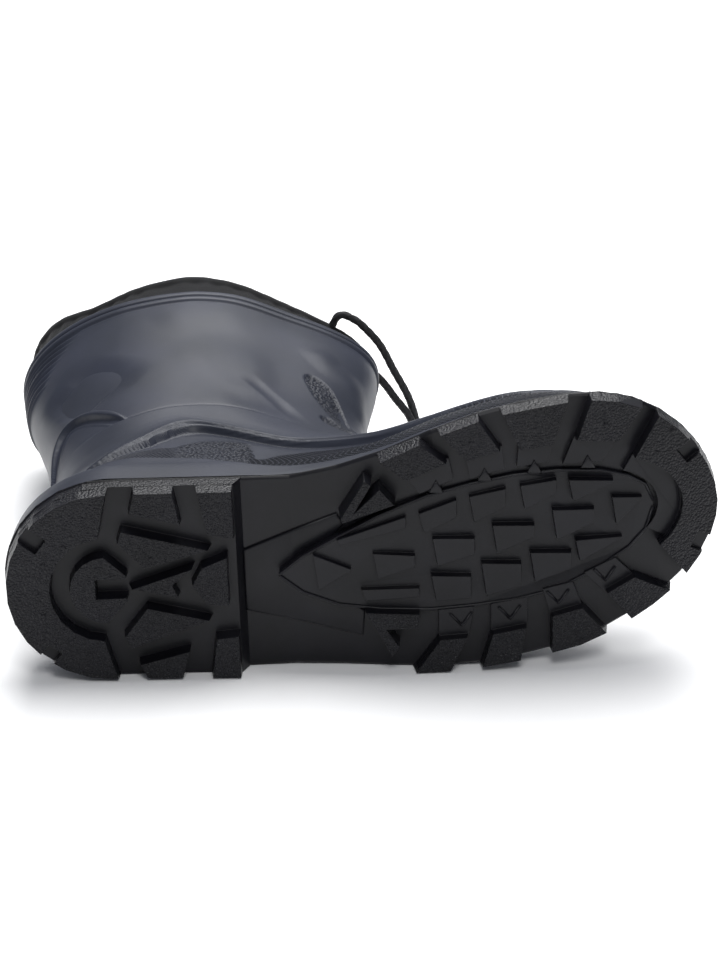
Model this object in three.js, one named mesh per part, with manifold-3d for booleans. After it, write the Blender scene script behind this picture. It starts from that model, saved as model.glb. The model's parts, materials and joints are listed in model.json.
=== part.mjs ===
// A left snow boot: a moulded rubber shell on a lugged sole, with a nylon collar and its drawcord.
// Millimetres. The boot's own frame has +X to the toe along the heel's centre line, +Y to the
// lateral side and +Z up from the tread. The group at the end lies on the boot's lateral side.
import * as THREE from "three";
import { mergeVertices } from "three/addons/utils/BufferGeometryUtils.js";
import Module from "manifold-3d";

const wasm = await Module();
wasm.setup();

// Last and sole
const LENGTH = 314;
const BALL_WIDTH = 122;
const WAIST_WIDTH = 91;
const HEEL_WIDTH = 92;
const TOE_SWING = 24;
const TOE_SPRING = 13;
const EDGE_HEIGHT = 15;
const EDGE_LEAN = 2.5;
const ARCH_HEIGHT = 13;
const LUG_DEPTH = 7;
const HEEL_LENGTH = 102;
const FOOTBED_HEEL = 11;
const FOOTBED_FORE = 4;
const FOOTBED_EDGE = 0.6;
const INSOLE_THICKNESS = 4;
const INSOLE_EDGE = 1;

// Shell
const SHELL_HEIGHT = 229;
const FRONT_DIP = 6;
const WALL = 2.4;
const FOXING = 1.6;
const FOXING_HEIGHT = 31;
const BEAD = 1.2;
const CREST = 1.6;
const WAVE_STEP = 0.8;
const RELIEF_SEAT = 1.2;
const CLEARANCE = 0.3;
const SEAT_GAP = 0.4;

// Collar
const COLLAR_RISE = 40;
const COLLAR_TUCK = 16;
const COLLAR_LEAN = 2.5;
const CLOTH = 1.8;
const HEM = 2.2;

// Drawcord
const CORD_DIAMETER = 4;
const CORD_SIDES = 8;
const KNOT_SIDES = 12;

// Points round each section, an even number
const ROUND = 48;

// Plan of the sole's edge: half width as a share of the named width, and the centre line's swing
// to the medial side as a share of TOE_SWING
const PLAN = [
  { along: 0.148, width: 1.0, of: HEEL_WIDTH, swing: 0 },
  { along: 0.247, width: 1.0, of: HEEL_WIDTH, swing: -0.03 },
  { along: 0.326, width: 1.01, of: HEEL_WIDTH, swing: -0.07 },
  { along: 0.415, width: 1.02, of: WAIST_WIDTH, swing: -0.055 },
  { along: 0.513, width: 1.13, of: WAIST_WIDTH, swing: 0.085 },
  { along: 0.612, width: 0.955, of: BALL_WIDTH, swing: 0.36 },
  { along: 0.691, width: 1.0, of: BALL_WIDTH, swing: 0.57 },
  { along: 0.78, width: 0.99, of: BALL_WIDTH, swing: 0.77 },
  { along: 0.879, width: 0.99, of: BALL_WIDTH, swing: 0.95 },
  { along: 1.0, width: 1.02, of: BALL_WIDTH, swing: 0.92 },
];
// Stretches along the boot, as shares of LENGTH, over which a section changes from heel to ball,
// the shell's rim dips and the footbed comes down, and the ups between which the toe rounds off
const HEEL_TO_BALL = [0.3, 0.62];
const DIP_STRETCH = [0.25, 0.56];
const FOOTBED_STRETCH = [0.28, 0.62];
const TOE_ROUNDING_UPS = [0.08, 0.25];
const UPPER_TOE_POWER = 2;
const HEEL_ROUND = 0.1484;
const TOE_ROUND = 0.2226;
const HEEL_POWER = 2;
const TOE_POWER = 1.8;

// Heights along the sole: arch as a share of ARCH_HEIGHT above the groove floor, rim and seam,
// the height at which the shell's sections begin, as shares of EDGE_HEIGHT, spring as a share of
// TOE_SPRING, foxing as a share of FOXING_HEIGHT, and lean, how far the side comes in towards its
// rim, as a share of EDGE_LEAN
const PROFILE = [
  { along: 0.0, arch: 1, rim: 1.0, seam: 1.0, spring: 0, foxing: 1.0, lean: 0.3 },
  { along: 0.1, arch: 1, rim: 1.0, seam: 1.0, spring: 0, foxing: 1.05, lean: 0.3 },
  { along: 0.16, arch: 1, rim: 1.0, seam: 1.0, spring: 0, foxing: 1.0, lean: 0.3 },
  { along: 0.26, arch: 1, rim: 1.0, seam: 1.02, spring: 0, foxing: 0.87, lean: 0.4 },
  { along: 0.31, arch: 1, rim: 1.0, seam: 1.04, spring: 0, foxing: 0.7, lean: 0.5 },
  { along: 0.36, arch: 1, rim: 1.0, seam: 1.1, spring: 0, foxing: 0.48, lean: 0.6 },
  { along: 0.42, arch: 0.95, rim: 1.0, seam: 1.18, spring: 0, foxing: 0.34, lean: 0.7 },
  { along: 0.5, arch: 0.6, rim: 0.9, seam: 1.26, spring: 0, foxing: 0.18, lean: 0.7 },
  { along: 0.6, arch: 0, rim: 0.72, seam: 1.29, spring: 0, foxing: 0.12, lean: 0.6 },
  { along: 0.73, arch: 0, rim: 0.68, seam: 1.27, spring: 0, foxing: 0.1, lean: 0.6 },
  { along: 0.82, arch: 0, rim: 0.7, seam: 1.23, spring: 0.12, foxing: 0.1, lean: 0.8 },
  { along: 0.91, arch: 0, rim: 0.76, seam: 1.18, spring: 0.46, foxing: 0.1, lean: 1 },
  { along: 1.0, arch: 0, rim: 0.8, seam: 1.15, spring: 1, foxing: 0.1, lean: 1 },
];

// Sections of the shell from the sole's rim, up 0, to its own rim, up 1. The ends and their
// rounding are shares of LENGTH, the widths are shares of the plan's width at heel and ball.
const SECTIONS = [
  { up: 0.0, back: 0.006, front: 0.988, heelRound: 0.15, toeRound: 0.24, heel: 0.95, ball: 0.925 },
  { up: 0.05, back: 0.009, front: 0.977, heelRound: 0.15, toeRound: 0.242, heel: 0.94, ball: 0.895 },
  { up: 0.075, back: 0.012, front: 0.968, heelRound: 0.152, toeRound: 0.245, heel: 0.93, ball: 0.875 },
  { up: 0.098, back: 0.03, front: 0.955, heelRound: 0.154, toeRound: 0.248, heel: 0.91, ball: 0.84 },
  { up: 0.135, back: 0.045, front: 0.935, heelRound: 0.158, toeRound: 0.24, heel: 0.89, ball: 0.78 },
  { up: 0.174, back: 0.053, front: 0.907, heelRound: 0.16, toeRound: 0.26, heel: 0.88, ball: 0.73 },
  { up: 0.22, back: 0.058, front: 0.847, heelRound: 0.162, toeRound: 0.275, heel: 0.87, ball: 0.68 },
  { up: 0.26, back: 0.056, front: 0.768, heelRound: 0.168, toeRound: 0.285, heel: 0.865, ball: 0.61 },
  { up: 0.308, back: 0.055, front: 0.686, heelRound: 0.175, toeRound: 0.29, heel: 0.86, ball: 0.53 },
  { up: 0.38, back: 0.052, front: 0.606, heelRound: 0.185, toeRound: 0.285, heel: 0.86, ball: 0.46 },
  { up: 0.47, back: 0.044, front: 0.549, heelRound: 0.2, toeRound: 0.27, heel: 0.87, ball: 0.46 },
  { up: 0.575, back: 0.034, front: 0.52, heelRound: 0.22, toeRound: 0.27, heel: 0.9, ball: 0.56 },
  { up: 0.69, back: 0.017, front: 0.523, heelRound: 0.25, toeRound: 0.28, heel: 0.95, ball: 0.7 },
  { up: 0.8, back: 0.0, front: 0.533, heelRound: 0.27, toeRound: 0.29, heel: 1.0, ball: 0.76 },
  { up: 0.9, back: -0.009, front: 0.543, heelRound: 0.29, toeRound: 0.3, heel: 1.06, ball: 0.77 },
  { up: 1.0, back: -0.016, front: 0.545, heelRound: 0.3, toeRound: 0.3, heel: 1.11, ball: 0.74 },
];

// Steps of the shell's outer wall: first those of the foxing band, by its own height, then those
// up to the rim with its bead
const FOXING_STEPS = [
  { rise: 0.94, proud: 1 },
  { rise: 1.05, proud: 0 },
];
const OUTER_LEVELS = [
  { level: 0.098, crest: 0, step: 0 },
  { level: 0.12, crest: 0, step: 0 },
  { level: 0.15, crest: 0, step: 0 },
  { level: 0.18, crest: 0, step: 0 },
  { level: 0.208, crest: 0, step: 0 },
  { level: 0.226, crest: 0, step: 0 },
  { level: 0.235, crest: 1, step: 0 },
  { level: 0.262, crest: 0.45, step: 0 },
  { level: 0.295, crest: 0.15, step: 0.2 },
  { level: 0.33, crest: 0, step: 0.5 },
  { level: 0.37, crest: 0, step: 0.8 },
  { level: 0.412, crest: 0, step: 1 },
  { level: 0.424, crest: 0, step: 0 },
  { level: 0.46, crest: 0, step: 0 },
  { level: 0.515, crest: 0, step: 0 },
  { level: 0.58, crest: 0, step: 0 },
  { level: 0.65, crest: 0, step: 0 },
  { level: 0.72, crest: 0, step: 0 },
  { level: 0.79, crest: 0, step: 0 },
  { level: 0.86, crest: 0, step: 0 },
  { level: 0.91, crest: 0, step: 0 },
  { level: 0.95, crest: 0, step: 0 },
];

// The two waves moulded round the shell, at shares of a section from back to front: the up of the
// lower crest and of the softer step above it, and how proud each stands there, as a share
const WAVES = [
  { from: 0.0, lower: 0.15, upper: 0.36, crest: 0, step: 0 },
  { from: 0.05, lower: 0.17, upper: 0.38, crest: 0.2, step: 0 },
  { from: 0.12, lower: 0.215, upper: 0.395, crest: 0.7, step: 0.3 },
  { from: 0.19, lower: 0.25, upper: 0.403, crest: 1, step: 1 },
  { from: 0.25, lower: 0.292, upper: 0.413, crest: 1, step: 1 },
  { from: 0.3, lower: 0.322, upper: 0.424, crest: 1, step: 1 },
  { from: 0.345, lower: 0.336, upper: 0.432, crest: 1, step: 1 },
  { from: 0.385, lower: 0.324, upper: 0.438, crest: 1, step: 1 },
  { from: 0.43, lower: 0.28, upper: 0.443, crest: 1, step: 1 },
  { from: 0.48, lower: 0.234, upper: 0.443, crest: 1, step: 1 },
  { from: 0.54, lower: 0.188, upper: 0.436, crest: 1, step: 0.8 },
  { from: 0.6, lower: 0.145, upper: 0.43, crest: 0.8, step: 0.5 },
  { from: 0.7, lower: 0.108, upper: 0.413, crest: 0.6, step: 0.2 },
  { from: 0.8, lower: 0.095, upper: 0.4, crest: 0.5, step: 0 },
  { from: 1.0, lower: 0.095, upper: 0.4, crest: 0.5, step: 0 },
];
const LOWER_WAVE = 0.235;
const UPPER_WAVE = 0.424;
const WAVES_FROM = 0.075;
const WAVES_TO = 0.75;

// The raised fin behind the ankle, from the heel to its round tip: turn in radians from the heel's
// back, up, and how wide and proud it is in mm
const FIN = [
  { turn: 0.12, up: 0.176, wide: 2.4, proud: 0.6 },
  { turn: 0.13, up: 0.24, wide: 2.6, proud: 1.4 },
  { turn: 0.15, up: 0.31, wide: 2.8, proud: 1.8 },
  { turn: 0.22, up: 0.39, wide: 3, proud: 2 },
  { turn: 0.33, up: 0.46, wide: 3.2, proud: 2.2 },
  { turn: 0.48, up: 0.508, wide: 3.6, proud: 2.4 },
  { turn: 0.64, up: 0.517, wide: 4.6, proud: 2.6 },
  { turn: 0.78, up: 0.497, wide: 6.4, proud: 2.8 },
  { turn: 0.88, up: 0.464, wide: 7.4, proud: 2.8 },
  { turn: 0.95, up: 0.428, wide: 6, proud: 2.2 },
  { turn: 0.985, up: 0.405, wide: 2, proud: 0.6 },
];

// Ribs round the back of the shaft, from the top one down
const RIBS = {
  count: 7,
  top: 0.934,
  pitch: 0.0225,
  reach: 0.86,
  shorter: 0.062,
  wide: 2.8,
  proud: 1.2,
  steps: 6,
};
const BEAD_STEPS = [
  { up: 0.957, proud: 1 },
  { up: 0.985, proud: 1 },
  { up: 1.0, proud: 0.3 },
];
const INNER_LEVELS = [
  1.0, 0.9, 0.8, 0.68, 0.58, 0.48, 0.4, 0.34, 0.29, 0.245, 0.2, 0.15, 0.118, 0.096, 0.074, 0.05, 0.025,
];
const INNER_FOOT = 0.4;

// Collar from its tuck inside the shell to the top of its hem: rise as a share of the collar's own
// height, lean and hem as shares of the full ones. COLLAR_TOP has the height as a share of
// COLLAR_RISE and the full lean as a share of COLLAR_LEAN, along the boot
const COLLAR_STEPS = [
  { rise: 0.0, lean: 0, hem: 0 },
  { rise: 0.25, lean: 0.15, hem: 0 },
  { rise: 0.52, lean: 0.55, hem: 0 },
  { rise: 0.76, lean: 0.95, hem: 0 },
  { rise: 0.82, lean: 0.95, hem: 1 },
  { rise: 0.95, lean: 1.0, hem: 1 },
  { rise: 1.0, lean: 1.1, hem: 0.3 },
];
const COLLAR_TOP = [
  { along: -0.02, height: 0.92, lean: 0 },
  { along: 0.03, height: 0.84, lean: 0.2 },
  { along: 0.09, height: 0.75, lean: 1.6 },
  { along: 0.17, height: 0.78, lean: 1.0 },
  { along: 0.25, height: 0.82, lean: 0.6 },
  { along: 0.32, height: 0.79, lean: 1.0 },
  { along: 0.4, height: 0.72, lean: 1.2 },
  { along: 0.48, height: 0.58, lean: 1.2 },
  { along: 0.56, height: 0.5, lean: 1.0 },
];

// Forefoot lugs at the sole's edge. rear and front are their ends on the edge and rearIn and
// frontIn their ends inside, as shares of LENGTH. A low block goes on inwards to rearLow and
// frontLow. deep and deepLow are how far the two reach in, as shares of BALL_WIDTH. Side is -1
// for medial and 1 for lateral.
const EDGE_LUGS = [
  {
    side: -1, rear: 0.522, front: 0.58, rearIn: 0.561, frontIn: 0.621, deep: 0.135,
    rearLow: 0.58, frontLow: 0.627, deepLow: 0.215,
  },
  {
    side: -1, rear: 0.605, front: 0.662, rearIn: 0.644, frontIn: 0.694, deep: 0.155,
    rearLow: 0.65, frontLow: 0.697, deepLow: 0.235,
  },
  {
    side: -1, rear: 0.691, front: 0.787, rearIn: 0.717, frontIn: 0.764, deep: 0.17,
    rearLow: 0.714, frontLow: 0.758, deepLow: 0.24,
  },
  {
    side: -1, rear: 0.815, front: 0.891, rearIn: 0.793, frontIn: 0.854, deep: 0.17,
    rearLow: 0.777, frontLow: 0.831, deepLow: 0.26,
  },
  {
    side: 1, rear: 0.564, front: 0.618, rearIn: 0.602, frontIn: 0.644, deep: 0.145,
    rearLow: 0.602, frontLow: 0.652, deepLow: 0.245,
  },
  {
    side: 1, rear: 0.659, front: 0.717, rearIn: 0.675, frontIn: 0.726, deep: 0.145,
    rearLow: 0.675, frontLow: 0.726, deepLow: 0.245,
  },
  {
    side: 1, rear: 0.758, front: 0.841, rearIn: 0.758, frontIn: 0.803, deep: 0.165,
    rearLow: 0.748, frontLow: 0.79, deepLow: 0.26,
  },
  {
    side: 1, rear: 0.873, front: 0.933, rearIn: 0.834, frontIn: 0.876, deep: 0.18,
    rearLow: 0.806, frontLow: 0.85, deepLow: 0.28,
  },
];

// The rim round the toe and the low plateau inside it share an oval, by shares of LENGTH along
// and of BALL_WIDTH across
const TOE_RIM = {
  rear: 0.911,
  front: 0.953,
  along: 0.829,
  across: -0.2,
  radiusAlong: 0.113,
  radiusAcross: 0.213,
};
const TOE_RIM_FROM = -67;
const TOE_RIM_TO = 45;
const TOE_PLATEAU = 0.72;
const PLATEAU_OVERLAP = 1.02;
const PLATEAU_SHORTER = 8;

// Low field in the middle of the forefoot, from its rear tip: shares of LENGTH and BALL_WIDTH
const FIELD = [
  { along: 0.383, medial: -0.005, lateral: 0.000 },
  { along: 0.415, medial: -0.070, lateral: 0.070 },
  { along: 0.464, medial: -0.138, lateral: 0.125 },
  { along: 0.523, medial: -0.218, lateral: 0.150 },
  { along: 0.592, medial: -0.287, lateral: 0.161 },
  { along: 0.652, medial: -0.326, lateral: 0.152 },
  { along: 0.711, medial: -0.352, lateral: 0.136 },
  { along: 0.77, medial: -0.360, lateral: 0.103 },
  { along: 0.829, medial: -0.349, lateral: 0.028 },
  { along: 0.869, medial: -0.317, lateral: -0.037 },
  { along: 0.893, medial: -0.276, lateral: -0.101 },
  { along: 0.904, medial: -0.209, lateral: -0.184 },
];

// Blocks on the field: rear end and run as shares of LENGTH, medial edge and widths as shares of
// BALL_WIDTH, slope of the medial edge across per length along
const FIELD_BLOCKS = [
  { rear: 0.429, edge: -0.087, run: 0.054, slope: 0.47, wideRear: 0.148, wideFront: 0.012 },
  { rear: 0.512, edge: -0.079, run: 0.06, slope: 0.1, wideRear: 0.107, wideFront: 0.049 },
  { rear: 0.595, edge: -0.128, run: 0.06, slope: 0.05, wideRear: 0.115, wideFront: 0.066 },
  { rear: 0.678, edge: -0.169, run: 0.06, slope: 0.05, wideRear: 0.115, wideFront: 0.05 },
  { rear: 0.761, edge: -0.217, run: 0.06, slope: 0.05, wideRear: 0.123, wideFront: 0.057 },
  { rear: 0.844, edge: -0.249, run: 0.044, slope: 0.1, wideRear: 0.115, wideFront: 0.012 },
  { rear: 0.494, edge: 0.061, run: 0.083, slope: 0.02, wideRear: 0.05, wideFront: 0.04 },
  { rear: 0.592, edge: 0.019, run: 0.057, slope: 0.06, wideRear: 0.107, wideFront: 0.09 },
  { rear: 0.662, edge: -0.022, run: 0.057, slope: 0.06, wideRear: 0.135, wideFront: 0.09 },
  { rear: 0.73, edge: -0.055, run: 0.059, slope: 0.06, wideRear: 0.123, wideFront: 0.066 },
  { rear: 0.793, edge: -0.092, run: 0.067, slope: 0.0, wideRear: 0.09, wideFront: 0.012 },
  { rear: 0.462, edge: -0.137, run: 0.099, slope: -0.32, wideRear: 0.025, wideFront: 0.05 },
  { rear: 0.577, edge: -0.227, run: 0.054, slope: -0.35, wideRear: 0.082, wideFront: 0.074 },
  { rear: 0.647, edge: -0.284, run: 0.052, slope: -0.19, wideRear: 0.107, wideFront: 0.074 },
  { rear: 0.717, edge: -0.317, run: 0.052, slope: -0.12, wideRear: 0.098, wideFront: 0.057 },
  { rear: 0.784, edge: -0.330, run: 0.064, slope: 0.1, wideRear: 0.09, wideFront: 0.012 },
];

// Lugs that stand by themselves behind the field: corners as shares of LENGTH and BALL_WIDTH
const WAIST_LUGS = [
  {
    side: "medial",
    corners: [
      [0.504, -0.377], [0.516, -0.352], [0.491, -0.254], [0.525, -0.344], [0.548, -0.27],
      [0.471, -0.205], [0.468, -0.23],
    ],
  },
  {
    side: "lateral",
    corners: [
      [0.497, 0.139], [0.577, 0.156], [0.574, 0.221], [0.532, 0.221], [0.548, 0.287], [0.535, 0.336],
    ],
  },
];

// Heel lugs at its edge: shares of HEEL_LENGTH along, how deep they reach as shares of HEEL_WIDTH
const HEEL_EDGE_LUGS = [
  { side: -1, rear: 0.579, front: 0.75, rearIn: 0.552, frontIn: 0.778, deepRear: 0.126, deepFront: 0.19 },
  { side: -1, rear: 0.84, front: 1.0, rearIn: 0.877, frontIn: 1.0, deepRear: 0.24, deepFront: 0.27 },
  { side: 1, rear: 0.588, front: 0.75, rearIn: 0.556, frontIn: 0.787, deepRear: 0.095, deepFront: 0.165 },
  { side: 1, rear: 0.864, front: 1.0, rearIn: 0.893, frontIn: 1.0, deepRear: 0.23, deepFront: 0.245 },
];

// Heel lugs inside: corners as shares of HEEL_LENGTH and HEEL_WIDTH
const HEEL_INNER_LUGS = [
  { lug: "medial wedge", corners: [[0.516, -0.296], [0.901, -0.173], [0.609, -0.084], [0.494, -0.224]] },
  { lug: "lateral wedge", corners: [[0.608, 0.108], [0.89, 0.193], [0.527, 0.332], [0.5, 0.26]] },
  { lug: "arrow", corners: [[0.532, 0.012], [0.826, -0.089], [0.73, 0.001], [0.755, 0.072]] },
  {
    lug: "arrow foot",
    corners: [[0.847, -0.088], [0.966, -0.141], [0.964, 0.128], [0.859, 0.113], [0.801, 0.005]],
  },
];

// The disc in the heel and the rim that wraps it, with the disc's keyhole slot
const DISC = {
  along: 0.441,
  across: 0.011,
  radius: 16.5,
  groove: 7.5,
  slotRear: 0.402,
  slotHalf: 4,
  cut: 0.534,
};
const RIM_REAR_END = 0.475;
const DISC_ARC = [90, 270];
const HEEL_RIM_ARC = [94, 266];

// Notches in the sole's edge: middle as a share of LENGTH, wide along it and deep into it in mm
const NOTCHES = [
  { side: -1, along: 0.03, wide: 8, deep: 11 },
  { side: 1, along: 0.05, wide: 7, deep: 8 },
  { side: -1, along: 0.966, wide: 8, deep: 9 },
  { side: 1, along: 0.984, wide: 8, deep: 8 },
];
const NOTCH_DEPTH = 3.5;

// Levels above the tread plane
const LOW_LEVEL = 4.2;
const FIELD_LEVEL = 5.6;
const BLOCK_LEVEL = 3;
const SEAT = 1.5;
const LUG_DRAFT = 0.7;
const LUG_INSET = 1;
const BREAST_SLOPE = 4;
const BLOCK_DRAFT = 0.4;
const BLOCK_LEAN = 2;
const LOW_OVERLAP = 0.01;
const DISC_SLOT_SHIFT = 0.6;
const DISC_LIP = 2.5;
const NOTCH_OUT = 3;

// Steps of curved outlines: turn along the sole's edge, parts of an arc, and the sharpest mitre
const EDGE_STEP = 0.13;
const ARC_STEPS = 10;
const MITRE = 0.35;

// Drawcord, as the boot lies: its two strands from the collar's hem to the knot on the floor, and
// the knot with its two tails
const MEDIAL_STRAND = [
  [-3.5, 111.3, 78.5], [-1, 111.4, 82.8], [2.4, 111.5, 83.6], [6.6, 111.7, 81.5], [10.6, 111.8, 78.6],
  [18.5, 112.2, 69.6], [22.9, 112.5, 62.2], [26.8, 112.8, 53.7], [30.4, 113, 46.8], [33.9, 113.3, 39.7],
  [36.6, 113.6, 32.3], [38.4, 113.8, 25.4], [40.4, 114, 17.6], [43.4, 114.2, 9.4], [48, 114.2, 4.5],
];
const LATERAL_STRAND = [
  [13.6, 111.3, 51.2], [15.2, 111.2, 51.8], [17, 111.1, 51.7], [19.8, 110.9, 49.4], [23.7, 110.6, 44.6],
  [28, 110.3, 38.2], [30.1, 110.1, 35.6], [32, 110, 33], [33.6, 109.9, 30.9], [35, 109.8, 28.4],
  [37.4, 109.7, 22.6], [38.7, 109.6, 19], [40, 109.6, 15.4], [41.5, 109.6, 11.8], [43.4, 109.6, 8.6],
  [48.2, 109.8, 4.4],
];
const KNOT = { at: [54.4, 112, 4.7], size: [11, 10.4, 9] };
const KNOT_TAILS = [
  [[55.4, 112.6, 3.2], [62.4, 114.6, 2.3], [70.4, 116.8, 2.2], [79.4, 117.6, 2.2]],
  [[55.4, 111.4, 3.2], [62.4, 109.2, 2.3], [69.4, 106.6, 2.2], [77.4, 105.4, 2.2]],
];
const CORD_STEP = 6;

// Search for the resting pose: first and last step in radians, and its directions
const FIRST_TURN = 0.06;
const LAST_TURN = 1e-6;
const SEARCH = [[1, 0], [-1, 0], [0, 1], [0, -1], [1, 1], [-1, -1], [1, -1], [-1, 1]];

// Smooth value of a column at a place, through the rows and level beyond the first and last
function follow(rows, by, column, at) {
  const last = rows.length - 1;
  if (at <= rows[0][by]) return rows[0][column];
  if (at >= rows[last][by]) return rows[last][column];
  let i = 0;
  while (rows[i + 1][by] < at) i += 1;
  const slope = (k) => {
    const a = Math.max(k - 1, 0);
    const b = Math.min(k + 1, last);
    return (rows[b][column] - rows[a][column]) / (rows[b][by] - rows[a][by]);
  };
  const span = rows[i + 1][by] - rows[i][by];
  const t = (at - rows[i][by]) / span;
  const rise = rows[i + 1][column] - rows[i][column];
  const m0 = slope(i) * span;
  const m1 = slope(i + 1) * span;
  return rows[i][column] + t * (m0 + t * (3 * rise - 2 * m0 - m1 + t * (m0 + m1 - 2 * rise)));
}

const PLAN_SIZES = PLAN.map((row) => ({
  along: row.along,
  half: (row.width * row.of) / 2,
  centre: -row.swing * TOE_SWING,
}));

const centreAt = (x) => follow(PLAN_SIZES, "along", "centre", x / LENGTH);
const halfAt = (x) => follow(PLAN_SIZES, "along", "half", x / LENGTH);
const springAt = (x) => TOE_SPRING * follow(PROFILE, "along", "spring", x / LENGTH);
const rimAt = (x) => EDGE_HEIGHT * follow(PROFILE, "along", "rim", x / LENGTH) + springAt(x);
const seamAt = (x) => EDGE_HEIGHT * follow(PROFILE, "along", "seam", x / LENGTH) + springAt(x);
const floorAt = (x) =>
  LUG_DEPTH + (ARCH_HEIGHT - LUG_DEPTH) * follow(PROFILE, "along", "arch", x / LENGTH) + springAt(x);

// Width left near a rounded end, 0 at the end and 1 from one rounding length inwards
function endRound(distance, length, power) {
  const u = Math.min(Math.max(distance / length, 0), 1);
  return (1 - (1 - u) ** power) ** (1 / power);
}

const mix = (a, b, t) => a + (b - a) * t;
const share = (turn) => (1 - Math.cos(turn)) / 2;

// A point of the sole's edge; turn runs from the heel's back over the lateral side to the toe,
// at pi, and back over the medial side
function edgePoint(turn) {
  const x = share(turn) * LENGTH;
  const half =
    halfAt(x) *
    endRound(x, HEEL_ROUND * LENGTH, HEEL_POWER) *
    endRound(LENGTH - x, TOE_ROUND * LENGTH, TOE_POWER);
  return new THREE.Vector2(x, centreAt(x) + Math.sign(Math.sin(turn)) * half);
}

const STEP = 1e-3;

// Corners of a joined solid that lie closer than this come together
const WELD = 0.01;

// The sole's edge moved inwards
function edge(turn, inset) {
  const along = edgePoint(turn + STEP).sub(edgePoint(turn - STEP)).normalize();
  return edgePoint(turn).add(new THREE.Vector2(along.y, -along.x).multiplyScalar(inset));
}

// A point of the shell's outer skin, before its steps
function skinPoint(up, turn) {
  const at = (column) => follow(SECTIONS, "up", column, up);
  const back = at("back") * LENGTH;
  const front = at("front") * LENGTH;
  const x = mix(back, front, share(turn));
  const ballShare = THREE.MathUtils.smoothstep(x / LENGTH, ...HEEL_TO_BALL);
  const toePower = mix(
    TOE_POWER,
    UPPER_TOE_POWER,
    THREE.MathUtils.smoothstep(up, ...TOE_ROUNDING_UPS),
  );
  const half =
    halfAt(x) *
    mix(at("heel"), at("ball"), ballShare) *
    endRound(x - back, at("heelRound") * LENGTH, HEEL_POWER) *
    endRound(front - x, at("toeRound") * LENGTH, toePower);
  const top = SHELL_HEIGHT - FRONT_DIP * THREE.MathUtils.smoothstep(x / LENGTH, ...DIP_STRETCH);
  const y = centreAt(x) + Math.sign(Math.sin(turn)) * half;
  return new THREE.Vector3(x, y, mix(seamAt(x), top, up));
}

// The skin moved inwards along its normal, or outwards for a negative inset
function skin(up, turn, inset) {
  const rise = skinPoint(up + STEP, turn).sub(skinPoint(up - STEP, turn));
  const run = skinPoint(up, turn + STEP).sub(skinPoint(up, turn - STEP));
  const normal = rise.cross(run).normalize();
  return skinPoint(up, turn).addScaledVector(normal, -inset);
}

// The skin moved inwards, kept at its own height
function levelSkin(up, turn, inset) {
  return skin(up, turn, inset).setZ(skinPoint(up, turn).z);
}

// One closed ring of points, each worked out from its turn
function ring(pointAt) {
  return Array.from({ length: ROUND }, (_, i) => pointAt(((i + 0.5) * 2 * Math.PI) / ROUND));
}

function signedVolume(points, faces) {
  return faces.reduce((sum, [a, b, c]) => {
    const [p, q, r] = [points[a], points[b], points[c]];
    return sum + p.dot(new THREE.Vector3().crossVectors(q, r)) / 6;
  }, 0);
}

// A closed body as a three.js geometry, with its faces turned outwards
function bodyOf(points, faces) {
  const out = signedVolume(points, faces) > 0;
  const geometry = new THREE.BufferGeometry();
  geometry.setAttribute(
    "position",
    new THREE.Float32BufferAttribute(points.flatMap((p) => [p.x, p.y, p.z]), 3),
  );
  geometry.setIndex(faces.flatMap(([a, b, c]) => (out ? [a, b, c] : [a, c, b])));
  return geometry;
}

function bandFaces(from, to, count) {
  const faces = [];
  for (let i = 0; i < count; i += 1) {
    const j = (i + 1) % count;
    faces.push([from + i, from + j, to + j], [from + i, to + j, to + i]);
  }
  return faces;
}

// Rings closed across at the first and last, each cap a strip between the two sides
function loft(rings) {
  const count = rings[0].length;
  const faces = [];
  for (let k = 0; k + 1 < rings.length; k += 1) {
    faces.push(...bandFaces(k * count, (k + 1) * count, count));
  }
  const last = (rings.length - 1) * count;
  for (let i = 0; i + 1 < count / 2; i += 1) {
    const [a, b, c, d] = [i, i + 1, count - 2 - i, count - 1 - i];
    faces.push([a, c, b], [a, d, c]);
    faces.push([last + a, last + b, last + c], [last + a, last + c, last + d]);
  }
  return bodyOf(rings.flat(), faces);
}

// Rings joined into a closed wall, the last back to the first
function wallOf(rings) {
  const count = rings[0].length;
  const faces = rings.flatMap((_, k) => {
    return bandFaces(k * count, ((k + 1) % rings.length) * count, count);
  });
  return bodyOf(rings.flat(), faces);
}

function toSolid(geometry) {
  return new wasm.Manifold(
    new wasm.Mesh({
      numProp: 3,
      vertProperties: new Float32Array(geometry.getAttribute("position").array),
      triVerts: new Uint32Array(geometry.getIndex().array),
    }),
  );
}

function toGeometry(solid) {
  const mesh = solid.simplify(WELD).getMesh();
  const geometry = new THREE.BufferGeometry();
  const positions = [];
  for (let i = 0; i < mesh.numVert; i += 1) {
    positions.push(...mesh.vertProperties.subarray(i * mesh.numProp, i * mesh.numProp + 3));
  }
  geometry.setAttribute("position", new THREE.Float32BufferAttribute(positions, 3));
  geometry.setIndex([...mesh.triVerts]);
  return geometry;
}

// Sole base: side with its bevelled steps, the ledge under the shell and the raised footbed
function soleBase() {
  const side = [
    { inset: 2.0, rise: 0 },
    { inset: 0.8, rise: 0.2 },
    { inset: 0, rise: 0.4 },
    { inset: 0, rise: 0.85 },
    { inset: 0.6, rise: 1 },
  ];
  const rings = side.map(({ inset, rise }) =>
    ring((turn) => {
      const lean = EDGE_LEAN * follow(PROFILE, "along", "lean", share(turn));
      const p = edge(turn, inset + lean * rise);
      return new THREE.Vector3(p.x, p.y, mix(floorAt(p.x), rimAt(p.x), rise));
    }),
  );
  rings.push(ring((turn) => footbedPoint(turn, 0)));
  rings.push(ring((turn) => footbedPoint(turn, footbedRise(turn))));
  return loft(rings);
}

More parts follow.
